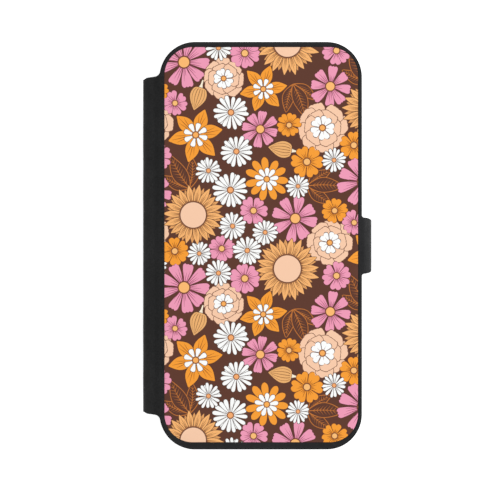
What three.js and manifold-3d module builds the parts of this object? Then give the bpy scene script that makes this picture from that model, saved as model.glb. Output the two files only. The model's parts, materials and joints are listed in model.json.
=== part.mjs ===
// Book-style phone case: a soft tray for the phone, bonded to a leathercloth wrap that folds
// round the left side as a soft spine, over the screen as a printed cover, and ends in a
// closing strap with a magnet that reaches round the right side and under the back.
//
// Millimetres. +X to the strap side, +Y to the top of the phone, +Z out of the screen.
// Origin: centre of the tray floor, where the middle of the phone's back rests.
// The case is closed here, as it lies on its back.

import * as THREE from "three";
import { mergeVertices } from "three/addons/utils/BufferGeometryUtils.js";
import Module from "manifold-3d";

const wasm = await Module();
wasm.setup();

// ---- driving dimensions -------------------------------------------------------------
const COVER_W = 74.4, COVER_H = 150.0, COVER_R = 12.9; // outline of the wrap's back and front
const PHONE_W = 71.0, PHONE_H = 146.6, PHONE_T = 8.4, PHONE_R = 11.3; // space for the phone
const WALL = 1.3, FLOOR = 1.3, LIP_T = 1.0, LIP_IN = 1.2; // the tray
const Z_BACK = -3.35; // outer face of the back
const Z_FRONT = 13.65; // outer face of the front cover
const SKIN = 0.7; // leathercloth on the back
const BOARD_INSET = 1.5; // the boards stop short of the rolled edge
const FRONT_SKIN = 0.8;
const PRINT_T = 0.27; // printed insert, in a recess of the front skin
const PRINT = { x0: -35.52, x1: 35.85, y0: -72.46, y1: 73.19, r: 10.4 };
const CAM = { x: 15.6, y: 51.9, w: 34.0, h: 36.0, r: 8.5 }; // opening for the cameras
const CAM_RIM = 1.2, CAM_PROUD = 0.5, CAM_GAP = 0.3;

const SPINE_H = 124.4, SPINE_T = 1.2; // the spine is cut between the corner radii
const HINGE_X = -37.9, SPINE_OUT = -43.8; // first fold line, and the spine's outermost face
const FOLD_GAP = 0.4; // each strip of the spine stops this far from its fold line

const STRAP_HALF = 9.8, STRAP_OUT = 41.0, STRAP_T = 1.3, STRAP_R = 3.3;
const STRAP_CLEAR = 0.9, STRAP_UNDER = 0.3, TIP_END = 17.5, TIP_SKIN = 0.6, TIP_LINING = 0.5, MAGNET_T = 1.0;
const AIR = 0.05; // between bonded layers

const ARC = 14; // segments in a quarter turn

// ---- helpers ------------------------------------------------------------------------
// Closed rounded rectangle from its corners.
function roundRect(x0, x1, y0, y1, r, seg = ARC) {
  const pts = [];
  const corners = [
    [x1 - r, y0 + r, -Math.PI / 2],
    [x1 - r, y1 - r, 0],
    [x0 + r, y1 - r, Math.PI / 2],
    [x0 + r, y0 + r, Math.PI],
  ];
  for (const [cx, cy, a] of corners)
    for (let i = 0; i <= seg; i++) {
      const t = a + (i / seg) * (Math.PI / 2);
      pts.push(new THREE.Vector2(cx + r * Math.cos(t), cy + r * Math.sin(t)));
    }
  return new THREE.Shape(pts);
}
const centred = (w, h, r, x = 0, y = 0, seg = ARC) =>
  roundRect(x - w / 2, x + w / 2, y - h / 2, y + h / 2, r, seg);

// A flat sheet between two heights.
function sheet(shape, z0, z1) {
  const g = new THREE.ExtrudeGeometry(shape, { depth: z1 - z0, bevelEnabled: false, curveSegments: ARC });
  g.translate(0, 0, z0);
  return g;
}
function box(x0, x1, y0, y1, z0, z1) {
  const g = new THREE.BoxGeometry(x1 - x0, y1 - y0, z1 - z0);
  g.translate((x0 + x1) / 2, (y0 + y1) / 2, (z0 + z1) / 2);
  return g;
}
function solid(geometry) {
  const g = geometry.clone();
  g.deleteAttribute("normal");
  g.deleteAttribute("uv");
  const m = mergeVertices(g, 1e-4);
  return new wasm.Manifold(
    new wasm.Mesh({
      numProp: 3,
      vertProperties: new Float32Array(m.attributes.position.array),
      triVerts: new Uint32Array(m.index.array),
    }),
  );
}
function geometry(manifold) {
  const m = manifold.getMesh();
  const g = new THREE.BufferGeometry();
  g.setAttribute("position", new THREE.BufferAttribute(new Float32Array(m.vertProperties), 3));
  g.setIndex(new THREE.BufferAttribute(new Uint32Array(m.triVerts), 1));
  g.computeVertexNormals();
  return g;
}
const cut = (g, ...tools) => geometry(tools.reduce((s, t) => s.subtract(solid(t)), solid(g)));
const join = (g, ...more) => geometry(more.reduce((s, t) => s.add(solid(t)), solid(g)));

const material = (color, roughness, metalness = 0) =>
  new THREE.MeshStandardMaterial({ color, roughness, metalness });
const M = {
  leathercloth: material(0x2a2a2a, 0.55),
  lining: material(0x242425, 0.7),
  board: material(0x8c7a5e, 0.9),
  print: material(0x613d31, 0.5),
  tray: material(0x1b1b1c, 0.42),
  pocket: material(0x29292a, 0.6),
  steel: material(0xb4b6b8, 0.35, 1),
  magnet: material(0x8d9094, 0.3, 1),
};
const root = new THREE.Group();
function add(name, g, mat, parent = root) {
  const mesh = new THREE.Mesh(g, mat);
  mesh.name = name;
  parent.add(mesh);
  return mesh;
}

// ---- back of the wrap ---------------------------------------------------------------
const backTop = Z_BACK + SKIN;
const boardTop = backTop + AIR + 0.65;
const trayBottom = -FLOOR;
const camHole = (grow, z0, z1) =>
  sheet(centred(CAM.w + 2 * grow, CAM.h + 2 * grow, CAM.r + grow, CAM.x, CAM.y, 6), z0, z1);
const layerHole = CAM_RIM + CAM_GAP;

add("back_outer_skin",
  cut(sheet(centred(COVER_W, COVER_H, COVER_R), Z_BACK, backTop), camHole(layerHole, Z_BACK - 1, backTop + 1)),
  M.leathercloth);

// The steel keeper that the strap's magnet holds lies in a window of the board.
const KEEPER = { x0: 20.8, x1: 34.2, y: 6.7, t: 0.5 };
add("back_board",
  cut(
    sheet(centred(COVER_W - 2 * BOARD_INSET, COVER_H - 2 * BOARD_INSET, COVER_R - BOARD_INSET), backTop + AIR, boardTop),
    camHole(layerHole, backTop - 1, boardTop + 1),
    box(KEEPER.x0 - 0.3, KEEPER.x1 + 0.3, -KEEPER.y - 0.3, KEEPER.y + 0.3, backTop - 1, boardTop + 1),
  ),
  M.board);
add("keeper_plate",
  sheet(roundRect(KEEPER.x0, KEEPER.x1, -KEEPER.y, KEEPER.y, 1.5, 4), backTop + AIR, backTop + AIR + KEEPER.t),
  M.steel);
add("back_lining",
  cut(
    sheet(centred(COVER_W - 0.6, COVER_H - 0.6, COVER_R - 0.3), boardTop + AIR, trayBottom - AIR),
    camHole(layerHole, boardTop - 1, 1),
  ),
  M.lining);

// ---- tray that holds the phone --------------------------------------------------------
const outerW = PHONE_W + 2 * WALL, outerH = PHONE_H + 2 * WALL, outerR = PHONE_R + WALL;
const lipTop = PHONE_T + LIP_T;
const EDGE = 1.0;
const shellBody = new THREE.ExtrudeGeometry(centred(outerW - 2 * EDGE, outerH - 2 * EDGE, outerR - EDGE), {
  depth: lipTop + FLOOR - 2 * EDGE,
  bevelEnabled: true, bevelThickness: EDGE, bevelSize: EDGE, bevelOffset: 0, bevelSegments: 3,
  curveSegments: ARC,
});
shellBody.translate(0, 0, -FLOOR + EDGE);

const BUTTON_Z = 4.2, BUTTON_TALL = 3.2, WINDOW_GAP = 0.3;
const BUTTONS = [
  { name: "volume_up_button", side: -1, y: 35.0, len: 11.0 },
  { name: "volume_down_button", side: -1, y: 21.0, len: 11.0 },
  { name: "side_button", side: 1, y: 27.0, len: 17.0 },
];
// A slot with round ends through a side wall (axis X) or an end wall (axis Y).
function slotX(side, y, len, z, tall) {
  const g = new THREE.ExtrudeGeometry(centred(len, tall, tall / 2 - 0.01, 0, 0, 5), { depth: 6, bevelEnabled: false });
  g.rotateX(Math.PI / 2); // length along X, height along Z, depth along -Y
  g.rotateZ(Math.PI / 2); // length along Y, depth along +X
  g.translate(side * (outerW / 2) - 3, y, z);
  return g;
}
function slotY(end, x, len, z, tall) {
  const g = new THREE.ExtrudeGeometry(centred(len, tall, tall / 2 - 0.01, 0, 0, 5), { depth: 6, bevelEnabled: false });
  g.rotateX(Math.PI / 2);
  g.translate(x, end * (outerH / 2) + 3, z);
  return g;
}
const tools = [
  sheet(centred(PHONE_W, PHONE_H, PHONE_R), 0, PHONE_T), // the phone
  sheet(centred(PHONE_W - 2 * LIP_IN, PHONE_H - 2 * LIP_IN, PHONE_R - LIP_IN), PHONE_T - 1, lipTop + 1), // the screen
  slotX(-1, 49.5, 9.0, BUTTON_Z, 4.4), // ring switch
  slotY(-1, 0, 13.0, BUTTON_Z, 6.0), // charging socket
  slotY(-1, -16.5, 14.0, BUTTON_Z, 2.6), // loudspeaker
  slotY(-1, 16.5, 14.0, BUTTON_Z, 2.6), // microphones
  slotY(1, -12.0, 2.4, BUTTON_Z, 2.4), // upper microphone
  ...BUTTONS.map((b) => slotX(b.side, b.y, b.len + 2 * WINDOW_GAP, BUTTON_Z, BUTTON_TALL + 2 * WINDOW_GAP)),
];
// A raised rim goes down through the back's layers and stands proud of them round the cameras.
const shell = tools
  .reduce((s, t) => s.subtract(solid(t)), solid(shellBody).add(solid(camHole(CAM_RIM, Z_BACK - CAM_PROUD, -0.2))))
  .subtract(solid(camHole(0, Z_BACK - 2, 1)));
add("phone_shell", geometry(shell), M.tray);

for (const b of BUTTONS) {
  const proud = 0.45, thick = WALL + proud - 0.1;
  const g = new THREE.ExtrudeGeometry(centred(b.len - 0.6, BUTTON_TALL - 0.6, BUTTON_TALL / 2 - 0.31, 0, 0, 5), {
    depth: thick - 0.3, bevelEnabled: true, bevelThickness: 0.3, bevelSize: 0.3, bevelOffset: 0, bevelSegments: 1,
  });
  const flat = solid(g).intersect(solid(box(-20, 20, -10, 10, 0, thick))); // bevel on the outer end only
  const cap = geometry(flat);
  cap.rotateX(Math.PI / 2);
  cap.rotateZ((b.side * Math.PI) / 2); // the outer end looks along +X or -X
  cap.translate(b.side * (outerW / 2 + proud - thick), b.y, BUTTON_Z);
  add(b.name, cap, M.tray);
}

// ---- spine: three strips between four fold lines ------------------------------------
const zFirst = Z_BACK + SPINE_T / 2, zLast = Z_FRONT - SPINE_T / 2;
const midX = SPINE_OUT + SPINE_T / 2;
const run = HINGE_X - midX; // the outer strips rise at 45 degrees
const FOLDS = [
  [HINGE_X, zFirst],
  [midX, zFirst + run],
  [midX, zLast - run],
  [HINGE_X, zLast],
];
["spine_lower", "spine_middle", "spine_upper"].forEach((name, i) => {
  const [ax, az] = FOLDS[i], [bx, bz] = FOLDS[i + 1];
  const length = Math.hypot(bx - ax, bz - az);
  const strip = new THREE.Group();
  strip.position.set((ax + bx) / 2, 0, (az + bz) / 2);
  strip.rotation.y = -Math.atan2(bz - az, bx - ax); // local +X runs up the spine, local +Z faces outwards
  const l = length / 2 - FOLD_GAP;
  const outer = box(-l, l, -SPINE_H / 2, SPINE_H / 2, 0.02, SPINE_T / 2);
  const inner = box(-l, l, -SPINE_H / 2 + 0.4, SPINE_H / 2 - 0.4, -SPINE_T / 2, -0.03);
  add(name + "_skin", outer, M.leathercloth, strip);
  add(name + "_lining", inner, M.lining, strip);
  root.add(strip);
});

// ---- front cover ----------------------------------------------------------------------
const frontUnder = Z_FRONT - FRONT_SKIN;
// strap fold axes, and the root of the strap, which is one with the front skin
const strapMidX = STRAP_OUT - STRAP_T / 2;
const LEG = 0.785 * STRAP_R;
const foldX = strapMidX - STRAP_R + LEG;
const foldTopZ = Z_FRONT - STRAP_T / 2 - STRAP_R + LEG;
const tipTop = Z_BACK - STRAP_UNDER;
const foldLowZ = tipTop - STRAP_T / 2 + STRAP_R - LEG;

const rootEnd = foldX - STRAP_CLEAR;
const flare = new THREE.Shape([
  new THREE.Vector2(COVER_W / 2 - 4, -STRAP_HALF - 1.6),
  new THREE.Vector2(COVER_W / 2 - 0.05, -STRAP_HALF - 1.6),
  new THREE.Vector2(COVER_W / 2 + 0.35, -STRAP_HALF - 0.7),
  new THREE.Vector2(COVER_W / 2 + 1.0, -STRAP_HALF - 0.25),
  new THREE.Vector2(rootEnd, -STRAP_HALF),
  new THREE.Vector2(rootEnd, STRAP_HALF),
  new THREE.Vector2(COVER_W / 2 + 1.0, STRAP_HALF + 0.25),
  new THREE.Vector2(COVER_W / 2 + 0.35, STRAP_HALF + 0.7),
  new THREE.Vector2(COVER_W / 2 - 0.05, STRAP_HALF + 1.6),
  new THREE.Vector2(COVER_W / 2 - 4, STRAP_HALF + 1.6),
]);
add("front_outer_skin",
  cut(
    join(sheet(centred(COVER_W, COVER_H, COVER_R), frontUnder, Z_FRONT), sheet(flare, frontUnder, Z_FRONT)),
    sheet(roundRect(PRINT.x0 - 0.05, PRINT.x1 + 0.05, PRINT.y0 - 0.05, PRINT.y1 + 0.05, PRINT.r), Z_FRONT - PRINT_T - AIR, Z_FRONT + 1),
  ),
  M.leathercloth);
add("print_panel",
  sheet(roundRect(PRINT.x0, PRINT.x1, PRINT.y0, PRINT.y1, PRINT.r), Z_FRONT - PRINT_T, Z_FRONT),
  M.print);
const frontBoardTop = frontUnder - AIR, frontBoardLow = frontBoardTop - 0.9;
add("front_board",
  sheet(centred(COVER_W - 2 * BOARD_INSET, COVER_H - 2 * BOARD_INSET, COVER_R - BOARD_INSET), frontBoardLow, frontBoardTop),
  M.board);
const liningTop = frontBoardLow - AIR, liningLow = liningTop - 0.5;
add("front_lining", sheet(centred(COVER_W - 0.6, COVER_H - 0.6, COVER_R - 0.3), liningLow, liningTop), M.lining);

// Pockets on the inside of the cover, stepped towards the spine. Cards go in from the spine side.
const POCKET_T = 0.4;
function pocket(xEdge, xEnd, half, r, notch) {
  const s = new THREE.Shape();
  s.moveTo(xEdge, -half);
  s.lineTo(xEnd - r, -half);
  s.absarc(xEnd - r, -half + r, r, -Math.PI / 2, 0, false);
  s.lineTo(xEnd, half - r);
  s.absarc(xEnd - r, half - r, r, 0, Math.PI / 2, false);
  s.lineTo(xEdge, half);
  if (notch) {
    const w = 9.5, d = 3.2; // a shallow thumb scoop in the mouth
    for (let i = 0; i <= 10; i++) {
      const t = i / 10;
      s.lineTo(xEdge + d * Math.sin(Math.PI * t) ** 1.5, w - 2 * w * t);
    }
  }
  s.closePath();
  return s;
}
const POCKETS = [
  { name: "cash_pocket_panel", edge: -32.0, end: 35.7, half: 73.2, r: 11.4, notch: false },
  { name: "card_slot_1_panel", edge: -25.6, end: 34.6, half: 46.0, r: 2.0, notch: true },
  { name: "card_slot_2_panel", edge: -19.4, end: 34.6, half: 46.0, r: 2.0, notch: true },
  { name: "card_slot_3_panel", edge: -13.2, end: 34.6, half: 46.0, r: 2.0, notch: true },
];
POCKETS.forEach((p, i) => {
  const top = liningLow - AIR - i * (POCKET_T + AIR);
  add(p.name, sheet(pocket(p.edge, p.end, p.half, p.r, p.notch), top - POCKET_T, top), M.pocket);
});

// ---- closing strap ----------------------------------------------------------------------
const sideTop = foldTopZ - STRAP_CLEAR, sideLow = foldLowZ + STRAP_CLEAR;
add("strap_side_skin", box(STRAP_OUT - 0.65, STRAP_OUT, -STRAP_HALF, STRAP_HALF, sideLow, sideTop), M.leathercloth);
add("strap_side_lining", box(STRAP_OUT - STRAP_T, STRAP_OUT - 0.7, -STRAP_HALF + 0.3, STRAP_HALF - 0.3, sideLow, sideTop), M.lining);

// The tip lies under the back. Its free end is rounded.
const tipRoot = foldX - STRAP_CLEAR;
function tipShape(inset) {
  const s = new THREE.Shape();
  const h0 = STRAP_HALF - inset, h1 = STRAP_HALF - 0.6 - inset, r = 4.5 - inset, xe = TIP_END + inset;
  s.moveTo(tipRoot, -h0);
  s.lineTo(tipRoot, h0);
  s.lineTo(xe + r, h1);
  s.absarc(xe + r, h1 - r, r, Math.PI / 2, Math.PI, false);
  s.lineTo(xe, -h1 + r);
  s.absarc(xe + r, -h1 + r, r, Math.PI, (3 * Math.PI) / 2, false);
  s.closePath();
  return s;
}
const tipLow = tipTop - TIP_LINING - MAGNET_T - TIP_SKIN - 3 * AIR;
const MAG = { x0: 21.0, x1: 34.0, y: 6.5 };
add("strap_tip_lining", sheet(tipShape(0.3), tipTop - TIP_LINING, tipTop), M.lining);
add("strap_tip_skin",
  cut(
    sheet(tipShape(0), tipLow, tipTop - TIP_LINING - AIR),
    box(MAG.x0 - 0.2, MAG.x1 + 0.2, -MAG.y - 0.2, MAG.y + 0.2, tipLow + TIP_SKIN, tipTop),
  ),
  M.leathercloth);
add("strap_magnet",
  box(MAG.x0, MAG.x1, -MAG.y, MAG.y, tipLow + TIP_SKIN + AIR, tipLow + TIP_SKIN + AIR + MAGNET_T),
  M.magnet);

export default root;
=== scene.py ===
# Looks for the folio phone case. All lengths below are in millimetres until they are written to a mesh.
import bpy
import bmesh
import json
import math
import numpy as np
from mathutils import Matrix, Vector
from mathutils import geometry as mg


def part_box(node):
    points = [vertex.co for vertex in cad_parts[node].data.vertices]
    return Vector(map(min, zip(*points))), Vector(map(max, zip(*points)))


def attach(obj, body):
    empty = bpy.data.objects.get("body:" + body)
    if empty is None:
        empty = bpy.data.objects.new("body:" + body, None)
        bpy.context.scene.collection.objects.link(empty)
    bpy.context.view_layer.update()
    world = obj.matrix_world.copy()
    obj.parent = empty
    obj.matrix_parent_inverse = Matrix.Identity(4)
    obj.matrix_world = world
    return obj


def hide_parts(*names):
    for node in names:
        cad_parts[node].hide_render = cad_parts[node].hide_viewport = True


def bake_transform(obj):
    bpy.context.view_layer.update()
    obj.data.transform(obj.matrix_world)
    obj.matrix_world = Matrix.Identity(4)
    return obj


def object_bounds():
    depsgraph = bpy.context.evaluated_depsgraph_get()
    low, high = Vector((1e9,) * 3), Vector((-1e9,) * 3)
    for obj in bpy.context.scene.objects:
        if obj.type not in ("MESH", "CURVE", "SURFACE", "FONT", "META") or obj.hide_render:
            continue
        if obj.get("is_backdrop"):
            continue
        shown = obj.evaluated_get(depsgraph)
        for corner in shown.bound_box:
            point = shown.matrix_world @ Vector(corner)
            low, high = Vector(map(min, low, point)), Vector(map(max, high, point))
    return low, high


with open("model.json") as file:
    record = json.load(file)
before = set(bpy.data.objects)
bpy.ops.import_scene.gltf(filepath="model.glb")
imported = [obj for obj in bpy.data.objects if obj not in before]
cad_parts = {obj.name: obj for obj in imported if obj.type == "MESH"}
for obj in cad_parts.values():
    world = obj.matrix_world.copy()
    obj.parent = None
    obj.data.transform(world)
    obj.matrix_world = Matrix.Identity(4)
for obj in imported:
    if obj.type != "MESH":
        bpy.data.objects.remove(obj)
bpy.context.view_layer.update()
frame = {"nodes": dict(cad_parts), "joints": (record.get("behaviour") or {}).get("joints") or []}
scene = bpy.context.scene
MM = 0.001
RNG = np.random.default_rng(11)

# ------------------------------------------------------------------ sizes, as the CAD has them
def cad(node):
    lo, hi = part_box(node)
    return np.array(lo) * 1000, np.array(hi) * 1000

fo_lo, fo_hi = cad("front_outer_skin")
bo_lo, bo_hi = cad("back_outer_skin")
Z_FRONT, Z_BACK = fo_hi[2], bo_lo[2]
W2, H2, R = bo_hi[0] + 0.12, bo_hi[1] + 0.18, 13.0   # half width, half height, corner radius
pp_lo, pp_hi = cad("print_panel")
sm_lo, sm_hi = cad("spine_middle_skin")
ss_lo, ss_hi = cad("strap_side_skin")
tip_lo, tip_hi = cad("strap_tip_skin")
tl_lo, tl_hi = cad("strap_tip_lining")
joints = {j["name"]: j for j in frame["joints"]}
J = [np.array(joints[n]["pos_m"])[[0, 2]] * 1000 for n in ("cover_fold", "spine_fold_2", "spine_fold_3", "spine_fold_4")]
K = [np.array(joints[n]["pos_m"])[[0, 2]] * 1000 for n in ("strap_fold", "strap_tip_fold")]
SPINE_L = 62.5                                   # half length of the spine where it leaves the covers
NEUTRAL, STRAP_N = 0.6, 0.65                     # outer face to the line that keeps its length
STRAP_HALF = ss_hi[1] + 0.2
STRAP_R = 3.3
STRAP_X = ss_hi[0] - STRAP_N

# ------------------------------------------------------------------ small helpers
def smooth(t):
    t = np.clip(t, 0, 1)
    return t * t * (3 - 2 * t)

def ramp(v, a, b):
    return smooth((np.asarray(v, float) - a) / (b - a))

def inside(pts, poly):
    pts = np.asarray(pts, float); poly = np.asarray(poly, float)
    x, y = pts[:, 0], pts[:, 1]
    res = np.zeros(len(pts), bool)
    x0, y0 = poly[:, 0], poly[:, 1]
    x1, y1 = np.roll(x0, -1), np.roll(y0, -1)
    for a, b, c, d in zip(x0, y0, x1, y1):
        if b == d:
            continue
        hit = ((b > y) != (d > y)) & (x < (c - a) * (y - b) / (d - b) + a)
        res ^= hit
    return res

def arc(cx, cy, r, a0, a1, n):
    t = np.radians(np.linspace(a0, a1, n + 1))
    return np.c_[cx + r * np.cos(t), cy + r * np.sin(t)]

def line(p, q, step):
    p, q = np.array(p, float), np.array(q, float)
    n = max(1, int(math.ceil(np.linalg.norm(q - p) / step)))
    return p + (q - p) * np.linspace(0, 1, n + 1)[:, None]

def chain(*parts):
    """Joins polylines end to end and drops repeated points."""
    p = np.vstack(parts)
    keep = np.r_[True, np.linalg.norm(np.diff(p, axis=0), axis=1) > 1e-3]
    return p[keep]

def closed(p):
    return p[:-1] if np.linalg.norm(p[0] - p[-1]) < 1e-3 else p

def inward(p):
    """Unit normals of a counter-clockwise closed line, pointing inwards."""
    t = np.roll(p, -1, 0) - np.roll(p, 1, 0)
    t /= np.linalg.norm(t, axis=1)[:, None]
    return np.c_[-t[:, 1], t[:, 0]]

def round_rect(x0, x1, y0, y1, r, step=1.4, seg=22):
    return closed(chain(
        arc(x1 - r, y0 + r, r, -90, 0, seg), line((x1, y0 + r), (x1, y1 - r), step),
        arc(x1 - r, y1 - r, r, 0, 90, seg), line((x1 - r, y1), (x0 + r, y1), step),
        arc(x0 + r, y1 - r, r, 90, 180, seg), line((x0, y1 - r), (x0, y0 + r), step),
        arc(x0 + r, y0 + r, r, 180, 270, seg), line((x0 + r, y0), (x1 - r, y0), step)))

def cdt(points, loops):
    """Triangles over points, with every loop (lists of point numbers) kept as edges."""
    edges = [(l[i], l[(i + 1) % len(l)]) for l in loops for i in range(len(l))]
    out = mg.delaunay_2d_cdt([Vector((float(a), float(b))) for a, b in points], edges, [], 0, 1e-7)
    V = np.array([tuple(v) for v in out[0]], float)
    source = np.array([min(o) if len(o) else -1 for o in out[3]], int)
    V[source >= 0] = np.asarray(points, float)[source[source >= 0]]
    T = np.array([f for f in out[2] if len(f) == 3], int)
    a, b, c = V[T[:, 0]], V[T[:, 1]], V[T[:, 2]]
    size = np.abs((b[:, 0] - a[:, 0]) * (c[:, 1] - a[:, 1]) - (b[:, 1] - a[:, 1]) * (c[:, 0] - a[:, 0]))
    return V, T[size > 1e-6], source

class Solid:
    """A closed sheet in the flat (u, y, h), before it is cut and bent round."""
    def __init__(self):
        self.v, self.f, self.n = [], [], 0

    def put(self, pts, h):
        pts = np.asarray(pts, float)
        block = np.c_[pts, np.broadcast_to(np.asarray(h, float), len(pts))]
        self.v.append(block)
        start = self.n
        self.n += len(block)
        return list(range(start, self.n))

    def strip(self, a, b):
        n = len(a)
        self.f += [(a[i], a[(i + 1) % n], b[(i + 1) % n], b[i]) for i in range(n)]

    def cover(self, outer, holes, grid, height):
        """Fills the area inside outer and outside holes. outer and holes are (points, heights)."""
        loops, pts, hs = [], [], []
        n = 0
        for p, h in [outer] + list(holes):
            loops.append(list(range(n, n + len(p))))
            pts.append(np.asarray(p, float)); hs.append(np.broadcast_to(np.asarray(h, float), len(p)))
            n += len(p)
        rim = np.vstack(pts)
        if len(grid):
            g = np.asarray(grid, float)
            g = g[inside(g, outer[0])]
            for p, _ in holes:
                g = g[~inside(g, p)]
            keep = np.ones(len(g), bool)
            for i in range(0, len(g), 2000):
                d = np.linalg.norm(g[i:i + 2000, None] - rim[None], axis=2).min(1)
                keep[i:i + 2000] = d > 0.28
            g = g[keep]
        else:
            g = np.zeros((0, 2))
        V, T, source = cdt(np.vstack([rim, g]), loops)
        c = V[T].mean(1)
        ok = inside(c, outer[0])
        for p, _ in holes:
            ok &= ~inside(c, p)
        T = T[ok]
        H = np.asarray(height(V[:, 0], V[:, 1]), float) * np.ones(len(V))
        # the rim points keep the rings' own heights
        on_rim = (source >= 0) & (source < len(rim))
        H[on_rim] = np.concatenate(hs)[source[on_rim]]
        start = self.put(V, H)[0]
        self.f += [tuple(int(x) + start for x in t) for t in T]

    def build(self, rings, top, bottom, grid_top, grid_bottom, holes=(), recess=None):
        """rings run from the top face's edge round the outside to the bottom face's edge."""
        ids = [self.put(p, h) for p, h in rings]
        for a, b in zip(ids, ids[1:]):
            self.strip(a, b)
        top_holes, bottom_holes = [], []
        for hole in holes:
            ids = [self.put(p, h) for p, h in hole]
            for a, b in zip(ids, ids[1:]):
                self.strip(a, b)
            top_holes.append(hole[0]); bottom_holes.append(hole[-1])
        if recess:
            ids = [self.put(p, h) for p, h in recess]
            for a, b in zip(ids, ids[1:]):
                self.strip(a, b)
            top_holes.append(recess[0])
            self.cover(recess[-1], [], [], lambda u, y: np.full(len(u), float(np.mean(recess[-1][1]))))
        self.cover(rings[0], top_holes, grid_top, top)
        self.cover(rings[-1], bottom_holes, grid_bottom, bottom)
        return self

def mesh_object(name, verts, faces, mats, smooth_angle=38):
    me = bpy.data.meshes.new(name)
    me.from_pydata([tuple(v) for v in np.asarray(verts, float) * MM], [], [tuple(int(i) for i in f) for f in faces])
    me.update()
    bm = bmesh.new(); bm.from_mesh(me)
    bmesh.ops.remove_doubles(bm, verts=bm.verts, dist=2e-7)
    bmesh.ops.dissolve_degenerate(bm, edges=bm.edges, dist=1e-7)
    bmesh.ops.recalc_face_normals(bm, faces=bm.faces)
    bm.to_mesh(me); bm.free()
    ob = bpy.data.objects.new(name, me)
    scene.collection.objects.link(ob)
    for m in (mats if isinstance(mats, (list, tuple)) else [mats]):
        me.materials.append(m)
    finish_normals(ob, smooth_angle)
    return ob

def finish_normals(ob, angle=38):
    me = ob.data
    me.polygons.foreach_set("use_smooth", [True] * len(me.polygons))
    me.set_sharp_from_angle(angle=math.radians(angle))

def cut_and_bend(name, solid, lo, hi, bend, mats, smooth_angle=38, tag=None):
    """The part of a flat solid between two u values, capped, then bent round its path."""
    bm = bmesh.new()
    V = np.vstack(solid.v)
    bv = [bm.verts.new(tuple(v)) for v in V]
    for f in solid.f:
        try:
            bm.faces.new([bv[i] for i in f])
        except ValueError:
            pass
    bmesh.ops.remove_doubles(bm, verts=bm.verts, dist=3e-4)
    for u, sign in ((lo, -1), (hi, 1)):
        if u is None:
            continue
        geom = bm.verts[:] + bm.edges[:] + bm.faces[:]
        r = bmesh.ops.bisect_plane(bm, geom=geom, plane_co=(u, 0, 0), plane_no=(sign, 0, 0), clear_outer=True, dist=1e-5)
        rim = [e for e in r["geom_cut"] if isinstance(e, bmesh.types.BMEdge)]
        bmesh.ops.holes_fill(bm, edges=rim, sides=0)
    bmesh.ops.triangulate(bm, faces=[f for f in bm.faces if len(f.verts) > 4])
    if tag is not None:
        centres = np.array([f.calc_center_median() for f in bm.faces], float)
        for f, t in zip(bm.faces, tag(centres)):
            f.material_index = int(t)
    co = np.array([v.co for v in bm.verts], float)
    P = bend(co[:, 0], co[:, 1], co[:, 2]) * MM
    for v, p in zip(bm.verts, P):
        v.co = p
    bmesh.ops.recalc_face_normals(bm, faces=bm.faces)
    me = bpy.data.meshes.new(name)
    bm.to_mesh(me)
    open_edges = sum(1 for e in bm.edges if len(e.link_faces) != 2)
    if open_edges:
        print("open edges in", name, open_edges)
    bm.free()
    ob = bpy.data.objects.new(name, me)
    scene.collection.objects.link(ob)
    for m in (mats if isinstance(mats, (list, tuple)) else [mats]):
        me.materials.append(m)
    finish_normals(ob, smooth_angle)
    return ob

# ------------------------------------------------------------------ the wrap's path
# u is measured along the leather: u = x on the front, then on round the spine to the left (u falls),
# and round the strap to the right (u rises).
def filleted(corners, ends, profile):
    """Points along a polyline whose corners are rounded from ends[k] before to ends[k] after."""
    pts = [np.array(corners[0], float)]
    for k in range(1, len(corners) - 1):
        c = np.array(corners[k], float)
        d0 = c - corners[k - 1]; d0 = d0 / np.linalg.norm(d0)
        d1 = np.array(corners[k + 1]) - c; d1 = d1 / np.linalg.norm(d1)
        turn = math.atan2(d0[0] * d1[1] - d0[1] * d1[0], d0 @ d1)
        t = np.linspace(0, 1, 241)
        th = turn * profile(t)
        seg = np.c_[np.cos(th), np.sin(th)]
        path = np.vstack([[0, 0], np.cumsum((seg[1:] + seg[:-1]) / 2 / 240, 0)])
        scale = 2 * ends[k - 1] * math.cos(turn / 2) / np.linalg.norm(path[-1])
        path = path * scale
        a = math.atan2(d0[1], d0[0])
        rot = np.array([[math.cos(a), -math.sin(a)], [math.sin(a), math.cos(a)]])
        start = c - d0 * ends[k - 1]
        n = max(2, int(np.linalg.norm(start - pts[-1]) / 0.5))
        straight = pts[-1] + (start - pts[-1]) * np.linspace(0, 1, n + 1)[1:, None]
        pts += list(straight)
        pts += list(start + (path[1:] @ rot.T))
    end = np.array(corners[-1], float)
    n = max(2, int(np.linalg.norm(end - pts[-1]) / 0.5))
    pts += list(pts[-1] + (end - pts[-1]) * np.linspace(0, 1, n + 1)[1:, None])
    return np.array(pts)

X_A = -30.0
spine_line = filleted([(X_A, J[3][1]), J[3], J[2], J[1], J[0], (X_A, J[0][1])], [2.1, 2.3, 2.3, 2.1], smooth)
STRAP_IN = tl_hi[2]                              # inner face of the strap's tip
strap_line = filleted([(34.0, Z_FRONT - STRAP_N), (STRAP_X, Z_FRONT - STRAP_N), (STRAP_X, STRAP_IN - STRAP_N), (-2.0, STRAP_IN - STRAP_N)],
                      [STRAP_R, STRAP_R], lambda t: 0.65 * t + 0.35 * smooth(t))

def table(path):
    s = np.r_[0, np.cumsum(np.linalg.norm(np.diff(path, axis=0), axis=1))]
    t = np.gradient(path, s, axis=0)
    t /= np.linalg.norm(t, axis=1)[:, None]
    return s, path, t

SP, ST = table(spine_line), table(strap_line)
SPINE_LEN = SP[0][-1]
U_MID = X_A - SPINE_LEN / 2                      # the middle of the spine
back_u = lambda x: 2 * U_MID - x                 # u of a place on the back at that x

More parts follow.
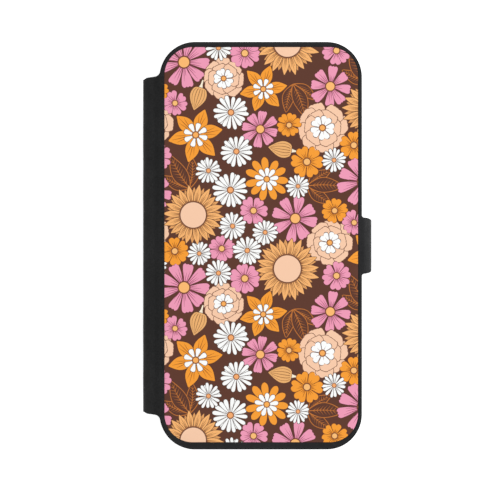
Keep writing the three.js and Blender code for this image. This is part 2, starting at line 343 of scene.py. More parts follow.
def follow(tab, s):
    x = np.interp(s, tab[0], tab[1][:, 0]); z = np.interp(s, tab[0], tab[1][:, 1])
    tx = np.interp(s, tab[0], tab[2][:, 0]); tz = np.interp(s, tab[0], tab[2][:, 1])
    m = np.hypot(tx, tz)
    return x, z, tx / m, tz / m

def bend(u, y, h):
    """From the flat (u, y, h) to the case, h = 0 on the leather's outer face."""
    u, y, h = (np.asarray(a, float) for a in (u, y, h))
    x, z = u.copy(), np.full(len(u), Z_FRONT) + h
    m = u < X_A                                  # round the spine
    if m.any():
        px, pz, tx, tz = follow(SP, X_A - u[m])
        # walking this way, the outside of the case is on the right of the line
        nx, nz = tz, -tx
        x[m], z[m] = px + nx * (h[m] + NEUTRAL), pz + nz * (h[m] + NEUTRAL)
    m = u < X_A - SPINE_LEN                      # along the back
    x[m], z[m] = 2 * U_MID - u[m], Z_BACK - h[m]
    m = u > 34.0                                 # round the strap
    if m.any():
        px, pz, tx, tz = follow(ST, u[m] - 34.0)
        nx, nz = -tz, tx
        x[m], z[m] = px + nx * (h[m] + STRAP_N), pz + nz * (h[m] + STRAP_N)
    return np.c_[x, y, z]

def u_at(tab, start, sign, target, axis):
    """u where the path passes a given x or z for the last time."""
    c = tab[1][:, axis]
    i = np.where(np.diff(np.sign(c - target)))[0][-1]
    return start + sign * tab[0][i]

U_TIP = u_at(ST, 34.0, 1, tip_lo[0], 0)          # the strap's free end
s_half = (np.where(ST[1][:, 1] < (K[0][1] + K[1][1]) / 2)[0][0])
U_SIDE = 34.0 + ST[0][s_half]                    # half way down the strap's side
def u_near(p):
    return X_A - SP[0][np.argmin(np.linalg.norm(SP[1] - p, axis=1))]
U_UP, U_LOW = u_near((J[3] + J[2]) / 2), u_near((J[1] + J[0]) / 2)
SPINE_FLAT = np.linalg.norm(J[2] - J[1]) / 2     # half the panel between the two outer folds
U_ROOT = 38.6

# thickness along the wrap: all of it, and the leather alone
def total(u):
    u = np.asarray(u, float)
    t = np.full(u.shape, 2.3)
    t = t + (1.2 - 2.3) * ramp(-u, 35.7, 37.4)
    t = t + (2.0 - 1.2) * ramp(-u, -back_u(-37.4), -back_u(-35.7))
    t = t + (1.3 - 2.3) * ramp(u, 37.2, 38.9)
    return t
def leather(u):
    u = np.asarray(u, float)
    t = np.full(u.shape, 0.8)
    t = t - 0.2 * ramp(-u, 35.7, 37.4) + 0.1 * ramp(-u, -back_u(-37.4), -back_u(-35.7)) - 0.15 * ramp(u, 37.2, 38.9)
    return t
def lining_t(u):
    u = np.asarray(u, float)
    return 0.5 + 0.05 * ramp(-u, 35.7, 37.4) - 0.05 * ramp(-u, -back_u(-37.4), -back_u(-35.7))
def edge_r(u):
    u = np.asarray(u, float)
    r = np.full(u.shape, 0.86)
    r = r - 0.38 * ramp(-u, 36.0, 38.6) + 0.38 * ramp(-u, -back_u(-38.6), -back_u(-36.0)) - 0.38 * ramp(u, 37.0, 39.0)
    return r

PAD = 0.95                                       # how far the magnet's pocket stands out
mag_lo, mag_hi = cad("strap_magnet")
U_MAG0, U_MAG1 = u_at(ST, 34.0, 1, mag_hi[0], 0), u_at(ST, 34.0, 1, mag_lo[0], 0)
def pad(u, y):
    e = 1.7
    return PAD * ramp(u, U_MAG0 - 0.7 - e, U_MAG0 - 0.7) * (1 - ramp(u, U_MAG1 + 0.6, U_MAG1 + 0.6 + e)) * (1 - ramp(np.abs(y), mag_hi[1] + 0.6, mag_hi[1] + 0.6 + e))

CREASE = 36.25
def relief(u, y):
    """Pressed fold lines, the magnet's pocket and the leather's slight unevenness on the outer face."""
    u, y = np.asarray(u, float), np.asarray(y, float)
    near = 1 - ramp(np.abs(y), 61.2, 64.5)
    h = pad(u, y)
    for c, depth, w in ((-CREASE, 0.34, 0.42), (back_u(-CREASE), 0.34, 0.42)):
        h = h - depth * np.exp(-((u - c) / w) ** 2) * near
    # the strap's own pressed line where it leaves the cover
    h = h - 0.10 * np.exp(-((u - 37.0) / 0.35) ** 2) * (1 - ramp(np.abs(y), 9.0, 10.6))
    soft = (u < -37.5) & (u > back_u(-37.5))
    wave = 0.035 * np.sin(y * 0.11 + u * 0.23 + 0.6) * np.sin(u * 0.55 + 0.4) + 0.02 * np.sin(y * 0.31 + 1.7) * np.sin(u * 0.4 + y * 0.05)
    h = h + wave * np.where(soft, np.minimum(ramp(-u, 37.5, 40.5), ramp(u, back_u(-37.5), back_u(-40.5))), 0)
    back = u < back_u(-36.8)
    h = h + np.where(back, 0.02 * np.sin(u * 0.09 + 1.1) * np.sin(y * 0.06 + 0.4), 0)
    return h

# the die-cut outline of the wrap, upper half from the strap's tip to the far side of the back
def outline():
    fine, coarse = 0.45, 1.5
    rt, ht = 4.5, STRAP_HALF - 0.6
    rf = 2.0
    cx = W2 - R
    cy = H2 - R
    # concave corner between the cover's rounded corner and the spine's straight end
    dy = SPINE_L + rf - cy
    fx = cx + math.sqrt((R + rf) ** 2 - dy ** 2)
    a = math.degrees(math.atan2(dy, fx - cx))
    def corner(centre, sgn):
        # sgn -1: the front's left side; +1: the back's side next to the spine (seen flat)
        if sgn < 0:
            body = arc(centre - cx, cy, R, 90, 180 - a, 26)
            fil = arc(centre - fx, SPINE_L + rf, rf, -a, -90, 12)
            return chain(body, fil)
        fil = arc(centre + fx, SPINE_L + rf, rf, 270, 180 + a, 12)
        body = arc(centre + cx, cy, R, a, 90, 26)
        return chain(fil, body)
    bc = back_u(0.0)
    # the spine's end slopes in towards its outer folds and is rounded there
    end = line((-fx, SPINE_L), (bc + fx, SPINE_L), fine)
    away = np.abs(end[:, 0] - U_MID) - SPINE_FLAT
    end[:, 1] -= 0.22 * (1 - np.clip(away / 6.6, 0, 1)) + 0.36 * smooth(1 - away / 1.6)
    # the strap is widest where it leaves the cover and narrows over its fold
    rs = 0.9
    side = [(U_TIP - rt, ht)] + [(u, STRAP_HALF + w) for u, w in ((42.4, -0.36), (41.3, -0.24), (40.5, 0.0), (39.7, 0.15), (W2 + rs, 0.38))]
    upper = chain(
        line((U_TIP, 0), (U_TIP, ht - rt), 0.8), arc(U_TIP - rt, ht - rt, rt, 0, 90, 12),
        *[line(p, q, fine) for p, q in zip(side, side[1:])],
        arc(W2 + rs, STRAP_HALF + 0.38 + rs, rs, -90, -180, 10),
        line((W2, STRAP_HALF + 0.38 + rs), (W2, cy), coarse),
        arc(cx, cy, R, 0, 90, 28), line((cx, H2), (-cx, H2), coarse),
        corner(0.0, -1),
        end,
        corner(bc, 1), line((bc + cx, H2), (bc - cx, H2), coarse),
        arc(bc - cx, cy, R, 90, 180, 28), line((bc - W2, cy), (bc - W2, 0), coarse))
    lower = upper[::-1] * [1, -1]
    return closed(chain(upper, lower))

OUT = outline()
IN = inward(OUT)

def offset(d):
    return OUT + IN * np.asarray(d, float).reshape(-1, 1)

def grid(lines):
    out = []
    for u0, u1, du, dy, y in lines:
        nu = max(1, int(round((u1 - u0) / du)))
        for i, u in enumerate(np.linspace(u0, u1, nu + 1)):
            ny = int(y / dy)
            ys = np.linspace(-y, y, 2 * ny + 1) + (dy / 2 if i % 2 else 0) * 0.5
            out.append(np.c_[np.full(len(ys), u), ys])
    return np.vstack(out)

B35 = back_u(-35.2)
WRAP_GRID = grid([
    (B35, -35.2, 0.36, 1.5, 61.9),
    (36.2, U_TIP - 0.4, 0.5, 0.75, 9.6),
    (back_u(36.5), B35 - 1.0, 3.0, 3.0, 74.0),
    (-35.0, 35.0, 7.0, 9.0, 72.0),
])

PHI = np.radians([90, 75, 60, 45, 30, 15, 0, -15, -30, -50, -70, -90])
CAM = dict(x=15.6, y=51.9, w=34.0, h=36.0, r=8.5)

def cam_loop(grow, u_of):
    p = round_rect(CAM["x"] - CAM["w"] / 2 - grow, CAM["x"] + CAM["w"] / 2 + grow, CAM["y"] - CAM["h"] / 2 - grow,
                   CAM["y"] + CAM["h"] / 2 + grow, CAM["r"] + grow, 1.2, 14)
    return np.c_[u_of(p[:, 0]), p[:, 1]]

def skin_solid():
    tt, ts, a = total(OUT[:, 0]), leather(OUT[:, 0]), edge_r(OUT[:, 0])
    rings = []
    for phi in PHI:
        p = offset(a * (1 - math.cos(phi)))
        w = max(0.0, math.sin(phi))
        rings.append((p, -tt / 2 * (1 - math.sin(phi)) + relief(p[:, 0], p[:, 1]) * w ** 0.5))
    p = offset(a + 0.42)
    rings.append((p, -tt))
    p = offset(a + 0.46)
    rings.append((p, -ts + pad(p[:, 0], p[:, 1])))
    print_loop = lambda g: round_rect(pp_lo[0] - g, pp_hi[0] + g, pp_lo[1] - g, pp_hi[1] + g, 10.4 + g)
    recess = [(print_loop(0.20), 0.0), (print_loop(0.13), -0.02), (print_loop(0.08), -0.07), (print_loop(0.06), -0.15), (print_loop(0.055), -0.32)]
    recess = [(p, np.full(len(p), h)) for p, h in recess]
    hole = []
    for g, h in ((1.95, 0.0), (1.8, -0.04), (1.68, -0.16), (1.62, -0.34), (1.62, -0.70)):
        p = cam_loop(g, back_u)
        hole.append((p, relief(p[:, 0], p[:, 1]) * (1 if h == 0.0 else 0) + h))
    return Solid().build(rings, relief, lambda u, y: -leather(u) + pad(u, y), WRAP_GRID, WRAP_GRID, [hole], recess)

def lining_solid():
    tt, tl, a = total(OUT[:, 0]), lining_t(OUT[:, 0]), edge_r(OUT[:, 0])
    base = a + 0.47
    rings = [(offset(base), -(tt - tl)), (offset(base), -(tt - 0.14)), (offset(base + 0.05), -(tt - 0.05)), (offset(base + 0.15), -tt)]
    hole = []
    for g, d in ((1.62, None), (1.62, 0.14), (1.7, 0.05), (1.8, 0.0)):
        p = cam_loop(g, back_u)
        hole.append((p, -(2.0 - 0.5) if d is None else -(2.0 - d)))
    return Solid().build(rings, lambda u, y: -(total(u) - lining_t(u)), lambda u, y: -total(u), WRAP_GRID, WRAP_GRID, [hole])

# ------------------------------------------------------------------ materials
def lin(r, g, b):
    return tuple(((c / 255) / 12.92 if c / 255 <= 0.04045 else ((c / 255 + 0.055) / 1.055) ** 2.4) for c in (r, g, b))

class Nodes:
    def __init__(self, name):
        self.m = bpy.data.materials.new(name)
        self.m.use_nodes = True
        self.t = self.m.node_tree
        self.t.nodes.clear()
        self.out = self.t.nodes.new("ShaderNodeOutputMaterial")
        self.b = self.t.nodes.new("ShaderNodeBsdfPrincipled")
        self.t.links.new(self.b.outputs[0], self.out.inputs[0])
        self.co = self.t.nodes.new("ShaderNodeTexCoord").outputs["Object"]

    def link(self, a, b):
        self.t.links.new(a, b)

    def new(self, kind, **props):
        n = self.t.nodes.new(kind)
        for k, v in props.items():
            setattr(n, k, v)
        return n

    def noise(self, mm, detail=3.0, rough=0.55, stretch=None):
        n = self.new("ShaderNodeTexNoise")
        n.inputs["Scale"].default_value = 1000.0 / mm
        n.inputs["Detail"].default_value = detail
        n.inputs["Roughness"].default_value = rough
        src = self.co
        if stretch:
            m = self.new("ShaderNodeMapping")
            m.inputs["Scale"].default_value = stretch
            self.link(src, m.inputs["Vector"]); src = m.outputs[0]
        self.link(src, n.inputs["Vector"])
        return n.outputs["Fac"] if "Fac" in n.outputs else n.outputs[0]

    def cells(self, mm, feature="F1", randomness=1.0, warp=0.0):
        n = self.new("ShaderNodeTexVoronoi", feature=feature)
        n.inputs["Scale"].default_value = 1000.0 / mm
        n.inputs["Randomness"].default_value = randomness
        src = self.co
        if warp:
            w = self.new("ShaderNodeTexNoise")
            w.inputs["Scale"].default_value = 1000.0 / (mm * 2.2)
            self.link(self.co, w.inputs["Vector"])
            mix = self.new("ShaderNodeVectorMath", operation="MULTIPLY_ADD")
            self.link(w.outputs["Color"], mix.inputs[0])
            mix.inputs[1].default_value = (warp * mm * 0.001,) * 3
            self.link(self.co, mix.inputs[2]); src = mix.outputs[0]
        self.link(src, n.inputs["Vector"])
        return n.outputs["Distance"]

    def span(self, fac, lo, hi, a=0.0, b=1.0):
        n = self.new("ShaderNodeMapRange")
        n.clamp = True
        self.link(fac, n.inputs["Value"])
        for k, v in (("From Min", a), ("From Max", b), ("To Min", lo), ("To Max", hi)):
            n.inputs[k].default_value = v
        return n.outputs["Result"]

    def math(self, op, a, b):
        n = self.new("ShaderNodeMath", operation=op)
        for i, v in enumerate((a, b)):
            if isinstance(v, (int, float)):
                n.inputs[i].default_value = v
            else:
                self.link(v, n.inputs[i])
        return n.outputs[0]

    def mix(self, fac, a, b, mode="MIX"):
        n = self.new("ShaderNodeMix", data_type="RGBA", blend_type=mode)
        for s, v in ((n.inputs[0], fac), (n.inputs[6], a), (n.inputs[7], b)):
            if isinstance(v, (int, float)):
                s.default_value = v
            elif isinstance(v, tuple):
                s.default_value = (*v, 1.0)
            else:
                self.link(v, s)
        return n.outputs[2]

    def bump(self, height, mm, strength=1.0, under=None):
        n = self.new("ShaderNodeBump")
        n.inputs["Strength"].default_value = strength
        n.inputs["Distance"].default_value = mm * MM
        self.link(height, n.inputs["Height"])
        if under is not None:
            self.link(under, n.inputs["Normal"])
        return n.outputs[0]

    def set(self, name, v):
        s = self.b.inputs[name]
        if isinstance(v, (int, float)):
            s.default_value = v
        elif isinstance(v, tuple):
            s.default_value = (*v, 1.0)
        else:
            self.link(v, s)

def leathercloth(name, low, high, grain=0.42, depth=0.035, spec=0.42, rough=(0.36, 0.58)):
    n = Nodes(name)
    pebble = n.cells(grain, "SMOOTH_F1", 0.92, 0.5)
    fine = n.noise(grain * 0.35, 2.0)
    cloud = n.noise(16.0, 3.0, 0.6)
    wear = n.noise(5.0, 4.0, 0.65)
    valley = n.span(pebble, 0.0, 1.0, 0.18, 0.62)
    col = n.mix(n.span(cloud, 0.0, 1.0, 0.35, 0.65), low, high)
    col = n.mix(n.math("MULTIPLY", valley, 0.45), col, tuple(c * 0.45 for c in low))
    col = n.mix(n.span(wear, 0.0, 0.35, 0.60, 0.74), col, tuple(min(1, c * 1.55) for c in high))
    n.set("Base Color", col)
    r = n.math("ADD", n.span(wear, rough[0], rough[1], 0.3, 0.7), n.math("MULTIPLY", valley, 0.10))
    n.set("Roughness", r)
    n.b.inputs["Specular IOR Level"].default_value = spec
    b = n.bump(n.noise(7.0, 2.0), 0.05, 0.5)
    b = n.bump(n.span(pebble, 1.0, 0.0, 0.12, 0.62), depth, 0.9, b)
    b = n.bump(fine, depth * 0.35, 0.6, b)
    n.link(b, n.b.inputs["Normal"])
    return n.m

def microfibre(name, low, high):
    n = Nodes(name)
    nap = n.noise(0.16, 4.0, 0.7)
    streak = n.noise(1.1, 3.0, 0.6, (1.0, 0.35, 1.0))
    patch = n.noise(13.0, 3.0, 0.6)
    col = n.mix(n.span(nap, 0.0, 1.0, 0.3, 0.7), low, high)
    col = n.mix(n.span(patch, 0.0, 0.5, 0.4, 0.7), col, tuple(min(1, c * 1.4) for c in high))
    n.set("Base Color", col)
    n.set("Roughness", n.span(streak, 0.78, 0.95, 0.3, 0.7))
    n.b.inputs["Specular IOR Level"].default_value = 0.25
    n.b.inputs["Sheen Weight"].default_value = 0.25
    n.b.inputs["Sheen Roughness"].default_value = 0.5
    b = n.bump(streak, 0.03, 0.6)
    n.link(n.bump(nap, 0.03, 0.8, b), n.b.inputs["Normal"])
    return n.m

def rubber(name, low, high, rough=(0.42, 0.6), grain=0.12):
    n = Nodes(name)
    tex = n.noise(grain, 3.0, 0.6)
    cloud = n.noise(9.0, 3.0, 0.6)
    rub = n.noise(2.4, 5.0, 0.7)
    n.set("Base Color", n.mix(n.span(cloud, 0.0, 1.0, 0.35, 0.65), low, high))
    n.set("Roughness", n.math("ADD", n.span(rub, rough[0], rough[1], 0.3, 0.7), n.span(tex, -0.03, 0.03)))
    n.b.inputs["Specular IOR Level"].default_value = 0.45
    b = n.bump(cloud, 0.012, 0.3)
    n.link(n.bump(tex, 0.010, 0.6, b), n.b.inputs["Normal"])
    return n.m

def cardboard(name):
    n = Nodes(name)
    fibre = n.noise(0.5, 5.0, 0.7, (1.0, 0.25, 1.0))
    speck = n.noise(0.9, 2.0)
    n.set("Base Color", n.mix(n.span(fibre, 0.0, 1.0, 0.3, 0.7), lin(120, 112, 100), lin(152, 143, 128)))
    n.set("Roughness", n.span(speck, 0.82, 0.96, 0.3, 0.7))
    n.link(n.bump(fibre, 0.03, 0.8), n.b.inputs["Normal"])
    return n.m

def metal(name, low, high, rough):
    n = Nodes(name)
    brush = n.noise(0.35, 4.0, 0.6, (0.08, 1.0, 1.0))
    cloud = n.noise(6.0, 3.0)
    n.set("Base Color", n.mix(n.span(cloud, 0.0, 1.0, 0.35, 0.65), low, high))
    n.set("Metallic", 1.0)
    n.set("Roughness", n.span(brush, rough[0], rough[1], 0.3, 0.7))
    n.link(n.bump(brush, 0.008, 0.7), n.b.inputs["Normal"])
    return n.m

def printed(name):
    n = Nodes(name)
    a = n.new("ShaderNodeAttribute", attribute_name="Print")
    ink = n.noise(0.25, 3.0, 0.6)
    cloud = n.noise(14.0, 3.0, 0.6)
    col = n.mix(n.span(ink, 0.0, 0.10, 0.35, 0.7), a.outputs["Color"], (0.9, 0.9, 0.9), "MULTIPLY")
    col = n.mix(n.span(cloud, 0.0, 0.06, 0.35, 0.7), col, (1.0, 0.96, 0.92), "MULTIPLY")
    n.set("Base Color", col)
    n.set("Roughness", n.span(cloud, 0.52, 0.62, 0.3, 0.7))
    n.b.inputs["Specular IOR Level"].default_value = 0.22
    b = n.bump(n.noise(9.0, 2.0), 0.04, 0.35)
    n.link(n.bump(n.cells(0.5, "SMOOTH_F1", 0.9, 0.4), 0.010, 0.45, b), n.b.inputs["Normal"])
    return n.m

M_LEATHER = leathercloth("LeatherclothBlack", lin(29, 29, 30), lin(37, 37, 38), spec=0.20, rough=(0.42, 0.62))
# The spine gets its own copy of the black leather, with another tone, less specular and more roughness, so that it
# reads darker under the side lamps: painted shade, the same leather as the covers.
M_SPINE_SHADE = leathercloth("LeatherclothSpineShade", lin(36, 36, 36), lin(43, 43, 43), spec=0.06, rough=(0.52, 0.70))
# The turned edge gets a darker copy of the black leather with no specular: painted shade on the rounded edge, not a
# different leather.
M_EDGE_SHADE = leathercloth("LeatherclothEdgeShade", lin(12, 12, 12), lin(18, 18, 18), 0.42, 0.025, 0.0, (0.66, 0.82))
M_LINING = microfibre("LiningBlack", lin(30, 30, 31), lin(44, 44, 45))
M_POCKET = leathercloth("PocketLeathercloth", lin(27, 27, 28), lin(36, 36, 37), 0.36, 0.03, 0.38, (0.42, 0.62))
M_TRAY = rubber("TrayRubber", lin(24, 24, 25), lin(31, 31, 32))
M_KEY = rubber("ButtonRubber", lin(28, 28, 29), lin(36, 36, 37), (0.34, 0.5))
M_PRINT = printed("PrintedPanel")
M_BOARD = cardboard("Stiffener")
M_STEEL = metal("KeeperSteel", lin(150, 152, 156), lin(178, 180, 184), (0.25, 0.42))
M_MAGNET = metal("MagnetNickel", lin(165, 163, 158), lin(190, 188, 182), (0.18, 0.34))

# ------------------------------------------------------------------ the wrap and its lining
def which_leather(c):
    """1 for the turned edge, whose darker copy of the leather is painted shade, 2 for the spine between its two pressed
    lines, whose toned copy of the leather is painted shade, 0 for the rest.
    """
    poly = offset(edge_r(OUT[:, 0]) * 0.40)
    # the outer half of the rounded edge takes the darker copy of the leather: painted shade
    edge = ~inside(c[:, :2], poly) & (c[:, 2] > -0.52 * total(c[:, 0]))
    # the spine between its pressed lines takes the shaded copy of the leather: painted shade
    spine = (c[:, 0] < -CREASE) & (c[:, 0] > back_u(-CREASE)) & (np.abs(c[:, 1]) < SPINE_L + 0.1)
    return np.where(edge, 1, np.where(spine, 2, 0))

def blend_at(obj):
    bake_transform(obj)

d_in, d45a, d_up, d45b = np.array([-1.0, 0.0]), np.array([-1.0, 1.0]) / 2 ** 0.5, np.array([0.0, 1.0]), np.array([1.0, 1.0]) / 2 ** 0.5
d_out = np.array([1.0, 0.0])
folds = [  # (lower body, upper body, start, end)
    ("back", "spine_lower", J[0] - d_in * 2.1, J[0] + d45a * 2.1),
    ("spine_lower", "spine_middle", J[1] - d45a * 2.3, J[1] + d_up * 2.3),
    ("spine_middle", "spine_upper", J[2] - d_up * 2.3, J[2] + d45b * 2.3),
    ("spine_upper", "front_cover", J[3] - d45b * 2.1, J[3] + d_out * 2.1)]

px, pz, tx, tz = follow(ST, np.array([U_ROOT - 34.0]))
root_p, root_d = np.array([px[0], pz[0]]), np.array([1.0, -1.0]) / 2 ** 0.5
s0 = root_p + root_d * 0.27
strap_folds = [
    ("front_cover", "strap_side", s0, s0 + root_d * 2.9),
    ("strap_side", "strap_tip", np.array([STRAP_X, STRAP_IN - STRAP_N + STRAP_R]), np.array([STRAP_X - STRAP_R, STRAP_IN - STRAP_N]))]

pieces = [  # name, lowest u, highest u, fold
    ("back", None, U_LOW, folds[0]), ("spine_lower_half", U_LOW, U_MID, folds[1]),
    ("spine_upper_half", U_MID, U_UP, folds[2]), ("front", U_UP, U_ROOT, folds[3]),
    ("strap_side", U_ROOT, U_SIDE, strap_folds[0]), ("strap_tip", U_SIDE, None, strap_folds[1])]
stands_for = {
    "back": "back_outer_skin", "spine_lower_half": "spine_lower_skin", "spine_upper_half": "spine_middle_skin",
    "front": "front_outer_skin", "strap_side": "strap_side_skin", "strap_tip": "strap_tip_skin"}
stands_lining = {
    "back": "back_lining", "spine_lower_half": "spine_lower_lining", "spine_upper_half": "spine_middle_lining",
    "front": "front_lining", "strap_side": "strap_side_lining", "strap_tip": "strap_tip_lining"}
skin, lining = skin_solid(), lining_solid()
for name, lo, hi, (a, b, s, e) in pieces:
    o = cut_and_bend("wrap_" + name, skin, lo, hi, bend, [M_LEATHER, M_EDGE_SHADE, M_SPINE_SHADE], tag=which_leather)
    blend_at(o)
    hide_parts(*([stands_for[name]] + (["spine_upper_skin"] if name == "spine_upper_half" else [])))
    o = cut_and_bend("lining_" + name, lining, lo, hi, bend, M_LINING)
    blend_at(o)
    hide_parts(*([stands_lining[name]] + (["spine_upper_lining"] if name == "spine_upper_half" else [])))

# ------------------------------------------------------------------ pocket panels inside the front cover
def chaikin(p, n=1):
    for _ in range(n):
        q = np.empty((len(p) * 2, 2))
        nxt = np.roll(p, -1, 0)
        q[0::2] = p * 0.75 + nxt * 0.25
        q[1::2] = p * 0.25 + nxt * 0.75
        p = q
    return p

def pocket_outline(x0, x1, half, r, scoop):
    right = chain(line((x0 + r, -half), (x1 - r, -half), 2.0), arc(x1 - r, -half + r, r, -90, 0, 18),
                  line((x1, -half + r), (x1, half - r), 2.0), arc(x1 - r, half - r, r, 0, 90, 18),
                  line((x1 - r, half), (x0 + r, half), 2.0), arc(x0 + r, half - r, r, 90, 180, 18))
    ys = np.linspace(half - r, -half + r, max(8, int((2 * (half - r)) / 0.8)) + 1)
    xs = x0 + (3.2 * smooth(1 - (np.abs(ys) - 2.5) / 7.0) if scoop else 0) * np.ones(len(ys))
    return closed(chain(right, np.c_[xs, ys], arc(x0 + r, -half + r, r, 180, 270, 18)))

def panel(name, node, half, r, scoop):
    lo, hi = cad(node)
    x0, x1, zt, zb = lo[0], hi[0], hi[2], lo[2]
    P = pocket_outline(x0, x1, half, r, scoop)
    I = inward(P)
    off = lambda d: P + I * d
    t = zt - zb
    e = 0.15
    rings = [(off(e), zt), (off(0.04), zt - 0.04), (off(0.0), zt - 0.12), (off(0.0), zb + 0.14), (off(0.05), zb + 0.05), (off(0.17), zb),
             (off(0.75), zb), (off(0.92), zb + 0.05), (off(1.05), zb + 0.07), (off(1.18), zb + 0.05), (off(1.35), zb)]
    rings = [(p, np.full(len(p), z)) for p, z in rings]
    s = Solid().build(rings, lambda u, y: np.full(np.shape(u), zt), lambda u, y: np.full(np.shape(u), zb), [], [])
    o = cut_and_bend(name, s, None, None, lambda u, y, h: np.c_[u, y, h], M_POCKET, 50)
    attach(o, "front_cover"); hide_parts(node)
    return o

panel("cash_pocket", "cash_pocket_panel", 73.2, 11.4, False)
for i in (1, 2, 3):
    panel(f"card_slot_{i}", f"card_slot_{i}_panel", 46.0, 2.0, True)

# ------------------------------------------------------------------ the tray that holds the phone
WALL_X, WALL_Y, WALL_R, LIP = 36.8, 74.6, 12.6, 9.4
def tray():
    P = round_rect(-WALL_X, WALL_X, -WALL_Y, WALL_Y, WALL_R, 2.0, 30)
    I = inward(P)
    prof = [(1.3 + 0.7, 0.0)]
    prof += [(1.3 + 0.7 * (1 - math.sin(a)), 0.7 * (1 - math.cos(a))) for a in np.radians([22, 45, 67, 90])]
    prof += [(1.3, 2.2), (1.3, 4.2), (1.3, 6.2), (1.3, 8.1), (1.36, 8.3), (1.55, 8.4), (2.3, 8.4), (2.44, 8.47), (2.5, 8.62), (2.5, 9.15), (2.43, 9.32), (2.27, 9.4), (1.75, 9.4), (1.1, 9.4)]
    prof += [(1.1 * (1 - math.sin(a)), LIP - 1.1 * (1 - math.cos(a))) for a in np.radians([15, 30, 45, 60, 75, 90])]
    prof += [(0.0, 7.0), (0.0, 5.4), (0.0, 3.9), (0.0, 2.4), (0.0, 1.0)]
    prof += [(1.2 * (1 - math.cos(a)), -1.3 + 1.2 * (1 - math.sin(a))) for a in np.radians([0, 15, 30, 45, 60, 75, 90])]
    rings = [(P + I * d, np.full(len(P), z)) for d, z in prof]
    hole = []
    for g, z in ((0.55, 0.0), (0.32, -0.06), (0.12, -0.2), (0.0, -0.5), (0.0, -2.2), (0.0, -3.45), (0.06, -3.66), (0.2, -3.8), (0.4, -3.85),
                 (0.8, -3.85), (1.0, -3.8), (1.14, -3.66), (1.2, -3.45), (1.2, -1.6), (1.25, -1.42), (1.4, -1.3)):
        p = cam_loop(g, lambda x: x)
        hole.append((p, np.full(len(p), z)))
    flat = lambda z: (lambda u, y: np.full(np.shape(u), z))
    s = Solid().build(rings, flat(0.0), flat(-1.3), [], [], [hole])
    return cut_and_bend("tray", s, None, None, lambda u, y, h: np.c_[u, y, h], M_TRAY, 40)

def capsule(w, h, r=None, seg=10):
    r = min(w, h) / 2 if r is None else min(r, w / 2 - 1e-3, h / 2 - 1e-3)
    return round_rect(-w / 2, w / 2, -h / 2, h / 2, r - 1e-4, 50.0, seg)

def prism(name, sections, mats=(), sharp=40):
    """sections: [(place(a, b, n) -> xyz, loop)] joined one after another and capped at both ends."""
    verts, faces = [], []
    n = len(sections[0])
    for s in sections:
        verts += [tuple(p) for p in s]
    for k in range(len(sections) - 1):
        for i in range(n):
            j = (i + 1) % n
            faces.append((k * n + i, k * n + j, (k + 1) * n + j, (k + 1) * n + i))
    faces.append(tuple(range(n))[::-1])
    faces.append(tuple(range((len(sections) - 1) * n, len(sections) * n)))
    return mesh_object(name, verts, faces, list(mats), sharp)

def on_x(side, y, z):
    return lambda p, d: np.c_[np.full(len(p), side * d), p[:, 0] + y, p[:, 1] + z]
def on_y(side, x, z):
    return lambda p, d: np.c_[p[:, 0] + x, np.full(len(p), side * d), p[:, 1] + z]

def opening(place, wall, w, h, r=None, flare=0.35, n=[0]):
    """A cutter whose mouth flares at the outside of the wall."""
    n[0] += 1
    secs = [place(capsule(w, h, r), wall - 2.4)]
    for t in (0.0, 0.3, 0.6, 0.85, 1.0):
        g = flare * (1 - math.cos(t * math.pi / 2))
        secs.append(place(capsule(w + 2 * g, h + 2 * g, None if r is None else r + g), wall - flare * (1 - math.sin(t * math.pi / 2)) if t else wall - flare))
    secs.append(place(capsule(w + 2 * flare, h + 2 * flare, None if r is None else r + flare), wall + 1.5))
    return prism(f"cutter_{n[0]}", secs)

def cut(target, cutters):
    for c in cutters:
        m = target.modifiers.new("cut", "BOOLEAN")
        m.operation, m.solver, m.object = "DIFFERENCE", "EXACT", c
    dg = bpy.context.evaluated_depsgraph_get()
    me = bpy.data.meshes.new_from_object(target.evaluated_get(dg))
    target.modifiers.clear()
    old = target.data
    target.data = me
    bpy.data.meshes.remove(old)
    for c in cutters:
        me_c = c.data
        bpy.data.objects.remove(c); bpy.data.meshes.remove(me_c)
    bm = bmesh.new(); bm.from_mesh(target.data)
    bmesh.ops.remove_doubles(bm, verts=bm.verts, dist=5e-7)
    bmesh.ops.dissolve_degenerate(bm, edges=bm.edges, dist=2e-7)
    bmesh.ops.triangulate(bm, faces=[f for f in bm.faces if len(f.verts) > 4])
    bm.to_mesh(target.data); bm.free()
    finish_normals(target, 32)

body = tray()
cut(body, [
    opening(on_x(-1, 49.5, 4.2), WALL_X, 9.0, 4.4, None),
    opening(on_x(-1, 35.0, 4.2), WALL_X, 11.6, 3.8, None, 0.2),
    opening(on_x(-1, 21.0, 4.2), WALL_X, 11.6, 3.8, None, 0.2),
    opening(on_x(1, 27.0, 4.2), WALL_X, 17.6, 3.8, None, 0.2),
    opening(on_y(-1, 0.0, 4.2), WALL_Y, 13.0, 6.0, None, 0.4),
    opening(on_y(-1, -16.5, 4.2), WALL_Y, 14.0, 2.6, None),
    opening(on_y(-1, 16.5, 4.2), WALL_Y, 14.0, 2.6, None),
    opening(on_y(1, -12.0, 4.2), WALL_Y, 2.4, 2.4, None, 0.25)])
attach(body, "back"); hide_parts("phone_shell")

